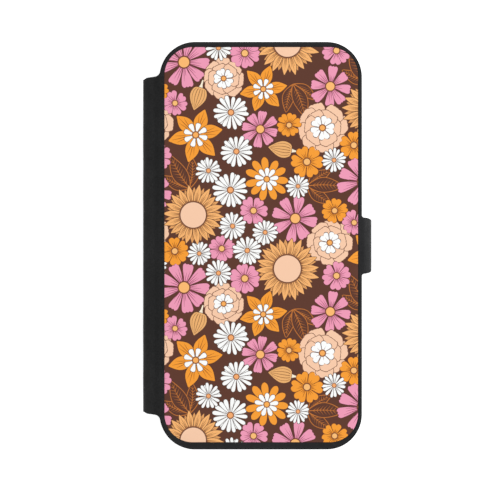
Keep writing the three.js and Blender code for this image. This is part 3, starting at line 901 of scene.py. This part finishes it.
def button(name, node, side, bodyname):
    lo, hi = cad(node)
    y, z, w, h = (lo[1] + hi[1]) / 2, (lo[2] + hi[2]) / 2, hi[1] - lo[1], hi[2] - lo[2]
    inner, outer = (abs(hi[0]), abs(lo[0])) if side < 0 else (lo[0], hi[0])
    place = on_x(side, y, z)
    r = 0.5
    secs = [place(capsule(w - 0.3, h - 0.3), inner), place(capsule(w, h), inner + 0.15), place(capsule(w, h), (inner + outer) / 2)]
    for a in np.radians([0, 20, 40, 60, 80]):
        g = r * (1 - math.cos(a))
        secs.append(place(capsule(w - 2 * g, h - 2 * g), outer - r + r * math.sin(a)))
    # a shallow finger dish
    for g, dd in ((0.75, 0.0), (0.95, 0.05), (1.2, 0.09), (1.45, 0.10)):
        secs.append(place(capsule(w - 2 * g, max(0.12, h - 2 * g)), outer - dd))
    o = prism(name, secs, [M_KEY], 35)
    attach(o, bodyname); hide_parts(node)

button("key_volume_up", "volume_up_button", -1, "volume_up")
button("key_volume_down", "volume_down_button", -1, "volume_down")
button("key_side", "side_button", 1, "side_key")

# ------------------------------------------------------------------ pieces kept from the CAD
for node, m in (("back_board", M_BOARD), ("keeper_plate", M_STEEL), ("strap_magnet", M_MAGNET)):
    me = frame["nodes"][node].data
    for i in range(len(me.materials)):
        me.materials[i] = m
    if not len(me.materials):
        me.materials.append(m)

# the cover's stiffener, 1.2 mm narrower at each side, so that its corners next to the spine stay under the lining
src = frame["nodes"]["front_board"]
me = src.data.copy(); me.name = "cover_stiffener"
for v in me.vertices:
    v.co = src.matrix_world @ v.co
    v.co.x *= 34.5 / 35.7
me.materials.clear(); me.materials.append(M_BOARD)
stiffener = bpy.data.objects.new("cover_stiffener", me)
scene.collection.objects.link(stiffener)
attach(stiffener, "front_cover"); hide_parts("front_board")

# ------------------------------------------------------------------ the printed panel
BROWN, DARK, LEAF = (93, 54, 40), (68, 38, 30), (196, 116, 50)
PINK, PINK_LINE = (240, 155, 183), (150, 66, 92)
GOLD, GOLD_LINE = (248, 158, 50), (146, 74, 24)
TAN, TAN_BACK, TAN_LINE = (248, 181, 112), (230, 163, 98), (142, 88, 50)
PEACH, PEACH_LINE = (249, 203, 170), (118, 74, 56)
WHITE, GREY = (254, 254, 252), (84, 66, 58)
CREAM = (253, 240, 214)
shapes = []

def catmull(p, n=2):
    a, b, c, d = np.roll(p, 1, 0), p, np.roll(p, -1, 0), np.roll(p, -2, 0)
    out = []
    for k in range(n):
        t = k / n
        out.append(0.5 * ((2 * b) + (c - a) * t + (2 * a - 5 * b + 4 * c - d) * t * t + (3 * b - a - 3 * c + d) * t ** 3))
    return np.stack(out, 1).reshape(-1, 2)

PROFILE = {
    "club": [(0, .26), (.3, .52), (.58, .86), (.8, 1), (.93, .80), (.985, .42), (1, 0)],
    "lance": [(0, .42), (.18, .78), (.38, 1), (.58, .94), (.76, .64), (.9, .30), (1, 0)],
    "leaf": [(0, .06), (.12, .48), (.3, .9), (.48, 1), (.68, .78), (.86, .38), (1, 0)],
    "narrow": [(0, .30), (.3, .66), (.6, .98), (.8, .96), (.93, .62), (1, 0)],
    "wedge": [(0, .20), (.25, .50), (.5, .82), (.8, 1.04), (.93, .98), (1.0, .62), (.955, .30), (.99, .10), (.985, 0)],
    "heart": [(0, .20), (.25, .46), (.5, .80), (.70, 1.02), (.86, .98), (.97, .72), (1.0, .44), (.955, .20), (.87, 0)],
    "ruffle": [(0, .60), (.3, .92), (.55, 1.06), (.70, 1.02), (.80, .90), (.92, .78), (.99, .54), (.965, .36), (1.0, .18), (.985, 0)],
    "block": [(0, .34), (.35, .76), (.66, 1.0), (.86, .94), (.97, .66), (1.0, .36), (.965, .12), (.955, 0)],
    "drop": [(0, .52), (.12, .86), (.28, 1.0), (.45, .98), (.64, .76), (.82, .42), (.95, .14), (1, 0)]}

def petal(kind, c, ang, l0, l1, hw, grow=0.0, skew=0.0):
    pr = np.array(PROFILE[kind], float)
    a = l0 - grow + pr[:, 0] * (l1 - l0 + 2 * grow)
    h = pr[:, 1] * hw + np.where(pr[:, 1] > 0, grow, 0)
    mid = skew * np.sin(pr[:, 0] * math.pi) * hw
    p = np.vstack([np.c_[a, mid + h], np.c_[a, mid - h][::-1][1:]])
    ca, sa = math.cos(ang), math.sin(ang)
    return p @ np.array([[ca, sa], [-sa, ca]]) + np.array(c)

def put(poly, col, soft=0):
    shapes.append((catmull(poly, soft) if soft else poly, col))

def outlined(kind, c, ang, l0, l1, hw, col, edge, o=0.10, soft=0, skew=0.0):
    put(petal(kind, c, ang, l0, l1, hw, o, skew), edge, soft)
    put(petal(kind, c, ang, l0, l1, hw, 0.0, skew), col, soft)

def stroke(c, ang, r0, r1, w, col, off=0.0, bend_=0.0):
    """A tapering line that runs outwards at an angle, moved sideways by off and curving by bend_."""
    t = np.array([0, .5, 1.0])
    along = r0 + (r1 - r0) * t
    side = off * (0.45 + 0.55 * t) + bend_ * t * t
    half = w / 2 * np.array([1.0, 0.85, 0.25])
    up = np.c_[along, side + half]
    dn = np.c_[along, side - half][::-1]
    ca, sa = math.cos(ang), math.sin(ang)
    put(np.vstack([up, dn]) @ np.array([[ca, sa], [-sa, ca]]) + np.array(c), col)

def dot(c, r, col, n=20):
    t = np.linspace(0, 2 * math.pi, n, endpoint=False)
    put(np.c_[c[0] + r * np.cos(t), c[1] + r * np.sin(t)], col)

def eye(c, r, ring, ring_col, col, n=22):
    dot(c, r + ring, ring_col, n)
    dot(c, r, col, n)

def daisy(c, r, rot):
    n = 16 if r > 6 else 15
    dot(c, 0.34 * r, GREY, 24)
    # a few short petals show behind the front ones
    for k in range(n):
        if RNG.uniform() < 0.4:
            a = rot + 2 * math.pi * (k + 0.5) / n
            outlined("club", c, a, 0.3 * r, r * RNG.uniform(0.80, 0.90), r * 0.06, WHITE, GREY, 0.12)
    for k in range(n):
        a = rot + 2 * math.pi * (k + RNG.uniform(-.14, .14)) / n
        ln = r * RNG.uniform(0.90, 1.03)
        outlined("club", c, a, 0.15 * r, ln, r * RNG.uniform(0.096, 0.116) * 16 / n, WHITE, GREY, 0.17, 2 if r > 6 else 0)
        if r > 4.0 and RNG.uniform() < 0.4:
            stroke(c, a, 0.24 * r, r * RNG.uniform(0.40, 0.60), 0.15, (146, 132, 124), RNG.uniform(-.02, .02) * r)
    eye(c, 0.14 * r, 0.060 * r, (146, 88, 50), (248, 172, 110))

def cosmos(c, r, rot):
    n = 9 if r > 9 else 8
    for k in range(n):
        a = rot + 2 * math.pi * (k + RNG.uniform(-.10, .10)) / n
        ln = r * RNG.uniform(0.90, 1.02)
        hw = r * RNG.uniform(0.190, 0.225) * 8.4 / n
        outlined("wedge", c, a, 0.16 * r, ln, hw, PINK, (104, 48, 54), 0.15, 2, RNG.uniform(-.12, .12))
        for off in (-0.10, 0.0, 0.10):
            stroke(c, a, 0.22 * r, r * RNG.uniform(0.48, 0.82), 0.23, PINK_LINE, (off + RNG.uniform(-.02, .02)) * r, off * 0.12 * r)
    eye(c, 0.20 * r, 0.05 * r, (118, 66, 48), (253, 186, 112), 30)

def star(c, r, rot, n=6):
    """Six pointed petals under a small white flower."""
    for k in range(n):
        a = rot + 2 * math.pi * (k + RNG.uniform(-.05, .05)) / n
        ln = r * RNG.uniform(0.95, 1.03)
        outlined("lance", c, a, 0.14 * r, ln, 0.240 * r, GOLD, DARK, 0.12, 2, RNG.uniform(-.12, .12))
        stroke(c, a, 0.3 * r, 0.86 * r, 0.25, GOLD_LINE)
        for s in (-1, 1):
            stroke(c, a, 0.36 * r, 0.72 * r, 0.21, GOLD_LINE, s * 0.105 * r, s * 0.02 * r)
    for k in range(8):
        a = rot + 2 * math.pi * (k + RNG.uniform(-.06, .06)) / 8
        outlined("club", c, a, 0.10 * r, 0.43 * r, 0.088 * r, WHITE, (88, 56, 48), 0.15, 2)
    eye(c, 0.095 * r, 0.045 * r, (146, 88, 50), (252, 176, 92), 18)

def double(c, r, rot):
    """Two rounds of narrow petals, gold outside and white inside."""
    for n, l1, hw, col, o in ((11, 1.0, 0.155, GOLD, 0.0), (9, 0.54, 0.096, WHITE, 0.5)):
        for k in range(n):
            a = rot + 2 * math.pi * (k + o + RNG.uniform(-.06, .06)) / n
            outlined("narrow", c, a, 0.10 * r, r * l1 * RNG.uniform(0.93, 1.02), hw * r, col, (92, 50, 30), 0.15, 2)
    eye(c, 0.11 * r, 0.045 * r, (146, 88, 50), (252, 176, 84), 18)

def sunflower(c, r, rot, n=18):
    for k in range(n):
        a = rot + 2 * math.pi * (k + 0.5 + RNG.uniform(-.1, .1)) / n
        outlined("lance", c, a, 0.40 * r, r * RNG.uniform(0.86, 0.97), 0.080 * r, TAN_BACK, (92, 54, 38), 0.14)
        stroke(c, a, 0.56 * r, 0.86 * r, 0.16, TAN_LINE)
    for k in range(n):
        a = rot + 2 * math.pi * (k + RNG.uniform(-.10, .10)) / n
        ln = r * RNG.uniform(0.95, 1.04)
        outlined("lance", c, a, 0.40 * r, ln, 0.104 * r, TAN, (92, 56, 38), 0.16, 2, RNG.uniform(-.2, .2))
        for off, e in ((-0.046, 0.74), (0.0, 0.86), (0.046, 0.74)):
            stroke(c, a, 0.44 * r, e * r * RNG.uniform(0.94, 1.06), 0.21, TAN_LINE, off * r)
    # shade where the petals leave the disc
    t = np.linspace(0, 2 * math.pi, 6 * n, endpoint=False)
    rr = r * np.where(np.arange(6 * n) % 2 == 0, 0.460, 0.515)
    put(np.c_[c[0] + rr * np.cos(t + rot), c[1] + rr * np.sin(t + rot)], (150, 98, 62))
    eye(c, 0.425 * r, 0.035 * r, (112, 68, 46), PEACH, 56)

def blossom(c, r, rot, col, line_col, n=6):
    dark = (112, 50, 56) if col == PINK else (120, 60, 26)
    for k in range(n):
        a = rot + 2 * math.pi * (k + RNG.uniform(-.07, .07)) / n
        outlined("heart", c, a, 0.12 * r, r * RNG.uniform(0.94, 1.03), r * RNG.uniform(0.345, 0.385) * 6 / n, col, dark, 0.16, 2, RNG.uniform(-.10, .10))
        for off in (-0.12, 0.0, 0.12):
            stroke(c, a, 0.24 * r, r * RNG.uniform(0.46, 0.70), 0.23, line_col, off * r, off * 0.3 * r)
    eye(c, 0.20 * r, 0.065 * r, (124, 70, 44), (251, 190, 118), 22)

def rosette(c, r, rot):
    """Two rounds of wide ruffled petals under a plain five-petalled flower."""
    for n, r0, r1, hw, o in ((8, .40, 1.02, .365, 0.0), (6, .22, .76, .355, .5)):
        for k in range(n):
            a = rot + 2 * math.pi * (k + o + RNG.uniform(-.08, .08)) / n
            outlined("ruffle", c, a, r0 * r, r1 * r * RNG.uniform(0.94, 1.02), hw * r * RNG.uniform(0.94, 1.04), PEACH, PEACH_LINE, 0.21, 2, RNG.uniform(-.25, .25))
    dot(c, 0.30 * r, PEACH_LINE, 24)
    for k in range(5):
        a = rot + 0.4 + 2 * math.pi * (k + RNG.uniform(-.04, .04)) / 5
        outlined("heart", c, a, 0.06 * r, 0.48 * r, 0.215 * r, WHITE, (98, 66, 58), 0.19, 2)
        stroke(c, a, 0.14 * r, 0.30 * r, 0.17, (150, 112, 98))
    eye(c, 0.105 * r, 0.050 * r, (146, 88, 50), (252, 176, 92), 16)

def bud(c, r, rot):
    base = np.array(c) - r * 0.62 * np.array([math.cos(rot), math.sin(rot)])
    r = r * 0.74
    ca, sa = math.cos(rot), math.sin(rot)
    M = np.array([[ca, sa], [-sa, ca]])
    # the stalk widens where it meets the bud
    p = np.array([(-0.80, -.06), (-0.35, -.09), (-0.12, -.16), (0.12, -.30), (0.12, .30), (-0.12, .16), (-0.35, .09), (-0.80, .06)]) * r
    put(p @ M + base, CREAM)
    outlined("drop", base, rot, 0.0, 2.20 * r, 0.78 * r, (238, 178, 112), (92, 54, 38), 0.16, 2)
    t = np.linspace(0, 1, 9)
    for off, e, w in ((-.74, 1.80, .18), (-.37, 1.98, .24), (0.0, 2.08, .24), (.37, 1.98, .24), (.74, 1.80, .18)):
        along = (0.10 + (e - 0.10) * t) * r
        side = off * 0.78 * r * np.interp(along / (2.2 * r), *zip(*PROFILE["drop"]))
        half = w / 2 * (1 - 0.45 * t)
        put(np.vstack([np.c_[along, side + half], np.c_[along, side - half][::-1]]) @ M + base, (138, 86, 48))

def leaf(base, r, rot, bend_=0.25):
    ca, sa = math.cos(rot), math.sin(rot)
    outlined("leaf", base, rot, 0, 2 * r, 0.40 * r, BROWN, LEAF, 0.24, 2, bend_)
    mid = lambda t: np.array([2 * r * t, bend_ * math.sin(t * math.pi) * 0.40 * r])
    M = np.array([[ca, sa], [-sa, ca]])
    pts = np.array([mid(t) for t in np.linspace(0, 0.90, 9)])
    wid = np.linspace(0.16, 0.05, 9)
    put(np.vstack([pts + np.c_[np.zeros(9), wid], (pts - np.c_[np.zeros(9), wid])[::-1]]) @ M + base, LEAF)
    for t in np.linspace(0.14, 0.80, 8):
        w = 0.31 * r * math.sin(min(1, t * 1.05) * math.pi) ** 0.6
        for s in (-1, 1):
            p, q = mid(t), mid(t) + np.array([0.24 * r, s * w])
            d = (q - p) / np.linalg.norm(q - p); nn = np.array([-d[1], d[0]])
            put(np.array([p - nn * 0.11, q, p + nn * 0.11]) @ M + base, LEAF)

def sprig(c, r, rot):
    """Two or three leaves from one stem."""
    base = np.array(c) - r * 0.95 * np.array([math.cos(rot), math.sin(rot)])
    for turn, size, bow in ((-0.62, 0.86, -0.3), (0.62, 0.82, 0.3), (0.0, 1.06, 0.2)):
        leaf(base, r * size, rot + turn, bow)

blossom_pink = lambda c, r, rot: blossom(c, r, rot, PINK, PINK_LINE)
blossom_gold = lambda c, r, rot: blossom(c, r, rot, GOLD, GOLD_LINE)

# A half-drop repeat: each column starts REPEAT_A[1] further up than the one beside it.
REPEAT_A, REPEAT_B = np.array([66.0, 39.0]), np.array([0.0, 83.0])
SPOTS = (
    (sprig, [(36.6, 65.6, 6.4, 2.1), (23.3, 21.9, 6.2, 6.25), (14, 53.9, 6, 5.07)]),
    (bud, [(42.9, 94, 5.2, 4.42), (8, 35.5, 5.2, 2.99)]),
    (cosmos, [(37.7, 23.6, 9.7, 1.35), (12.7, 10, 8.5, 4.47), (25.6, 58.7, 7.8, 6.18), (65.8, 81.9, 7, 5.29)]),
    (rosette, [(22.7, 43.4, 9, 5.73), (25.4, 84.1, 8.1, 0.69), (52.3, 100.6, 7.4, 1.54)]),
    (blossom_pink, [(60.1, 109.9, 5.7, 4.95), (27.9, 71.9, 5.3, 0.37), (63.3, 51.9, 5.1, 5.23), (51.6, 37.9, 4.8, 4.79), (34.4, 91.5, 4.5, 1.83)]),
    (star, [(42, 79.8, 10.3, 1.27), (0.9, 57.7, 8.9, 4.37)]),
    (daisy, [(54.8, 59.5, 6.8, 4.6), (55, 88.1, 6.4, 1.43), (57, 73.7, 6, 2.82), (61, 37.2, 5.4, 3.26), (55.6, 46.2, 5.1, 2.02), (46.7, 66.6, 4.8, 3.8), (1.6, 4.9, 4.7, 0.82), (27, 31.5, 4.6, 4.02), (43.3, 36.1, 4.5, 0.02), (13.7, 21.9, 4.4, 5.24), (50.4, 111.9, 5, 2.85)]),
    (sunflower, [(9.8, 74.5, 11.6, 2.85), (41.1, 50.3, 11, 6.24)]),
    (double, [(2.2, 24.5, 8.3, 0.51)]),
    (blossom_gold, [(17, 30.9, 5.8, 2.02), (34.3, 37, 5.2, 2.71), (27.2, 95.9, 4.7, 4.48), (10.4, 44.4, 4.4, 0.22)]),
)

def flower(kind, x, y, r, rot):
    global RNG
    for i in range(-2, 3):
        for j in range(-3, 4):
            c = np.array([x, y]) + i * REPEAT_A + j * REPEAT_B
            if (c + r < pp_lo[:2]).any() or (c - r > pp_hi[:2]).any():
                continue
            RNG = np.random.default_rng(int(x * 97 + y * 131 + r * 17))
            kind(c, r, rot)

for kind, spots in SPOTS:
    for x, y, r, rot in spots:
        flower(kind, x, y, r, rot)

def top_shape(C):
    idx = np.full(len(C), -1)
    order = np.argsort(C[:, 0]); xs = C[order, 0]
    for k, (poly, _) in enumerate(shapes):
        lo, hi = np.searchsorted(xs, [poly[:, 0].min(), poly[:, 0].max()])
        cand = order[lo:hi]
        cy = C[cand, 1]
        cand = cand[(cy >= poly[:, 1].min()) & (cy <= poly[:, 1].max())]
        if len(cand):
            idx[cand[inside(C[cand], poly)]] = k
    return idx

def print_mesh():
    g = 0.05
    outer = round_rect(pp_lo[0] + g, pp_hi[0] - g, pp_lo[1] + g, pp_hi[1] - g, 10.35, 2.0, 30)
    pts, edges, n = [outer], [(i, (i + 1) % len(outer)) for i in range(len(outer))], len(outer)
    for poly, _ in shapes:
        poly = np.round(poly, 4)
        if (poly[:, 0].min() > pp_hi[0]) or (poly[:, 0].max() < pp_lo[0]) or (poly[:, 1].min() > pp_hi[1]) or (poly[:, 1].max() < pp_lo[1]):
            continue
        pts.append(poly)
        m = len(poly)
        edges += [(n + i, n + (i + 1) % m) for i in range(m)]
        n += m
    P = np.vstack(pts)
    out = mg.delaunay_2d_cdt([Vector((float(a), float(b))) for a, b in P], edges, [], 0, 1e-5)
    V, T = np.array([tuple(v) for v in out[0]]), np.array([f for f in out[2] if len(f) == 3])
    C = V[T].mean(1)
    keep = inside(C, outer)
    T, C = T[keep], C[keep]
    colours = [BROWN] + [c for _, c in shapes]
    codes = {c: i for i, c in enumerate(dict.fromkeys(colours))}
    code = np.array([codes[c] for c in colours])
    kind = code[top_shape(C) + 1]
    # only edges between two colours, and the outline, are needed
    e = np.vstack([T[:, [0, 1]], T[:, [1, 2]], T[:, [2, 0]]])
    face = np.tile(np.arange(len(T)), 3)
    key = np.sort(e, 1)
    order = np.lexsort((key[:, 1], key[:, 0]))
    key, face = key[order], face[order]
    same = (key[1:] == key[:-1]).all(1)
    need = []
    i = 0
    while i < len(key):
        if i + 1 < len(key) and same[i]:
            if kind[face[i]] != kind[face[i + 1]]:
                need.append(key[i])
            i += 2
        else:
            need.append(key[i])
            i += 1
    need = np.array(need)
    used, inv = np.unique(need, return_inverse=True)
    out = mg.delaunay_2d_cdt([Vector((float(a), float(b))) for a, b in V[used]], [tuple(map(int, p)) for p in inv.reshape(-1, 2)], [], 0, 1e-6)
    V2, T2 = np.array([tuple(v) for v in out[0]]), np.array([f for f in out[2] if len(f) == 3])
    C2 = V2[T2].mean(1)
    keep = inside(C2, outer - inward(outer) * 0.01)
    T2, C2 = T2[keep], C2[keep]
    kind2 = code[top_shape(C2) + 1]
    return V2, T2, kind2, list(codes), outer

def build_print():
    V, T, K, colours, outer = print_mesh()
    top, edge_z, low = pp_hi[2] - 0.03, pp_hi[2] - 0.11, pp_lo[2]
    n = len(V)
    I = inward(outer)
    m = len(outer)
    # the outline's own points among the triangulated ones
    rim_edges = {}
    for t in T:
        for a, b in ((t[0], t[1]), (t[1], t[2]), (t[2], t[0])):
            a, b = int(a), int(b)
            if (b, a) in rim_edges:
                del rim_edges[(b, a)]
            else:
                rim_edges[(a, b)] = 1
    nxt = dict(rim_edges.keys())
    start = next(iter(nxt))
    loop = [start]
    while nxt[loop[-1]] != start:
        loop.append(nxt[loop[-1]])
    rim = V[loop]
    cx = np.clip(rim[:, 0], pp_lo[0] + 10.4, pp_hi[0] - 10.4); cy = np.clip(rim[:, 1], pp_lo[1] + 10.4, pp_hi[1] - 10.4)
    d = rim - np.c_[cx, cy]
    out_n = d / np.linalg.norm(d, axis=1)[:, None]
    side1, side2 = rim + out_n * 0.035, rim + out_n * 0.05
    verts = [np.c_[V, np.full(n, top)], np.c_[side1, np.full(len(rim), top - 0.015)], np.c_[side2, np.full(len(rim), edge_z)], np.c_[side2, np.full(len(rim), low)]]
    faces = [tuple(int(i) for i in t) for t in T]
    kinds = list(K)
    L = len(rim)
    rings = [loop, list(range(n, n + L)), list(range(n + L, n + 2 * L)), list(range(n + 2 * L, n + 3 * L))]
    for a, b in zip(rings, rings[1:]):
        for i in range(L):
            j = (i + 1) % L
            faces.append((a[j], a[i], b[i], b[j])); kinds.append(0)
    # the underside is a fan round its middle
    verts.append(np.array([[side2[:, 0].mean(), side2[:, 1].mean(), low]]))
    for i in range(L):
        faces.append((n + 2 * L + i, n + 2 * L + (i + 1) % L, n + 3 * L)); kinds.append(0)
    me = bpy.data.meshes.new("printed_panel")
    allv = np.vstack(verts) * MM
    me.from_pydata([tuple(v) for v in allv], [], faces)
    me.update()
    bm = bmesh.new(); bm.from_mesh(me)
    bmesh.ops.recalc_face_normals(bm, faces=bm.faces)
    bad = sum(1 for e in bm.edges if len(e.link_faces) != 2)
    if bad:
        print("open edges in printed_panel", bad)
    bm.to_mesh(me); bm.free()
    attr = me.color_attributes.new("Print", "FLOAT_COLOR", "CORNER")
    table_ = np.array([(*lin(*c), 1.0) for c in colours], np.float32)
    loops = np.zeros(len(me.polygons), int)
    me.polygons.foreach_get("loop_total", loops)
    data = np.repeat(table_[np.array(kinds)], loops, axis=0)
    attr.data.foreach_set("color", data.ravel())
    ob = bpy.data.objects.new("printed_panel", me)
    scene.collection.objects.link(ob)
    me.materials.append(M_PRINT)
    finish_normals(ob, 30)
    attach(ob, "front_cover"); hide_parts("print_panel")
    return ob

build_print()

# ------------------------------------------------------------------ floor, light and camera
def floor_material():
    n = Nodes("Floor")
    tex = n.noise(40.0, 2.0)
    n.set("Base Color", n.mix(n.span(tex, 0.0, 1.0, 0.3, 0.7), (0.90, 0.90, 0.90), (0.93, 0.93, 0.93)))
    n.set("Roughness", n.span(tex, 0.85, 0.95))
    n.b.inputs["Specular IOR Level"].default_value = 0.1
    n.b.inputs["Emission Color"].default_value = (1, 1, 1, 1)
    # The floor's own glow lights the underside, but what is looked at directly under the case doesn't glow,
    # so that it doesn't shine up through the camera window.
    xyz = n.new("ShaderNodeSeparateXYZ")
    n.link(n.co, xyz.inputs[0])
    qx = n.math("SUBTRACT", n.math("ABSOLUTE", xyz.outputs[0], 0.0), 0.0243)
    qy = n.math("SUBTRACT", n.math("ABSOLUTE", xyz.outputs[1], 0.0), 0.0621)
    px, py = n.math("MAXIMUM", qx, 0.0), n.math("MAXIMUM", qy, 0.0)
    reach = n.math("SQRT", n.math("ADD", n.math("MULTIPLY", px, px), n.math("MULTIPLY", py, py)), 0.0)
    d = n.math("ADD", reach, n.math("MINIMUM", n.math("MAXIMUM", qx, qy), 0.0))
    seen = n.new("ShaderNodeLightPath").outputs["Is Camera Ray"]
    less = n.math("MULTIPLY", seen, n.span(d, 0.6, 0.0, 0.0059, 0.0119))
    n.link(n.math("SUBTRACT", 0.6, less), n.b.inputs["Emission Strength"])
    n.link(n.bump(tex, 0.02, 0.3), n.b.inputs["Normal"])
    # seen from below, the floor lets the underside show
    see = n.new("ShaderNodeMixShader")
    n.link(n.new("ShaderNodeNewGeometry").outputs["Backfacing"], see.inputs[0])
    n.link(n.b.outputs[0], see.inputs[1])
    n.link(n.new("ShaderNodeBsdfTransparent").outputs[0], see.inputs[2])
    n.link(see.outputs[0], n.out.inputs[0])
    return n.m

bm = bmesh.new()
S = 1.6
z0 = tip_lo[2] * MM - 0.0004
vs = [bm.verts.new((x * S, y * S, z0)) for x, y in ((-1, -1), (1, -1), (1, 1), (-1, 1))]
bm.faces.new(vs)
fm = bpy.data.meshes.new("floor"); bm.to_mesh(fm); bm.free()
floor = bpy.data.objects.new("floor", fm)
scene.collection.objects.link(floor)
fm.materials.append(floor_material())
floor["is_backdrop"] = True

def area(name, loc, size, power, target=(0, 0, 0.01)):
    l = bpy.data.lights.new(name, "AREA")
    l.shape, l.size, l.size_y, l.energy = "RECTANGLE", size[0], size[1], power
    o = bpy.data.objects.new(name, l)
    scene.collection.objects.link(o)
    o.location = loc
    o.rotation_euler = (Vector(target) - Vector(loc)).to_track_quat("-Z", "Y").to_euler()
    return o

area("key_left", (-0.75, 0.35, 0.75), (0.7, 0.9), 1.2)
area("key_right", (0.85, 0.10, 0.65), (0.6, 0.9), 5.4)
area("fill_top", (0.05, 0.95, 0.65), (0.9, 0.5), 4.2)
area("fill_low", (0.0, -0.95, 0.55), (0.9, 0.5), 3.6)

world = bpy.data.worlds.new("Studio")
scene.world = world
world.use_nodes = True
bg = next(n for n in world.node_tree.nodes if n.type == "BACKGROUND")
bg.inputs[0].default_value = (0.96, 0.98, 1.0, 1)
bg.inputs[1].default_value = 0.42
scene.view_settings.view_transform = "Standard"
scene.view_settings.look = "None"

cam = bpy.data.cameras.new("camera")
cam.lens, cam.sensor_width = 136.8, 36.0
cam.clip_start, cam.clip_end = 0.01, 10.0
co_ = bpy.data.objects.new("camera", cam)
scene.collection.objects.link(co_)
co_.location = (-0.00398, -0.00160, 0.71365)
co_.rotation_euler = (0, 0, 0)
scene.camera = co_

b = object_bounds()
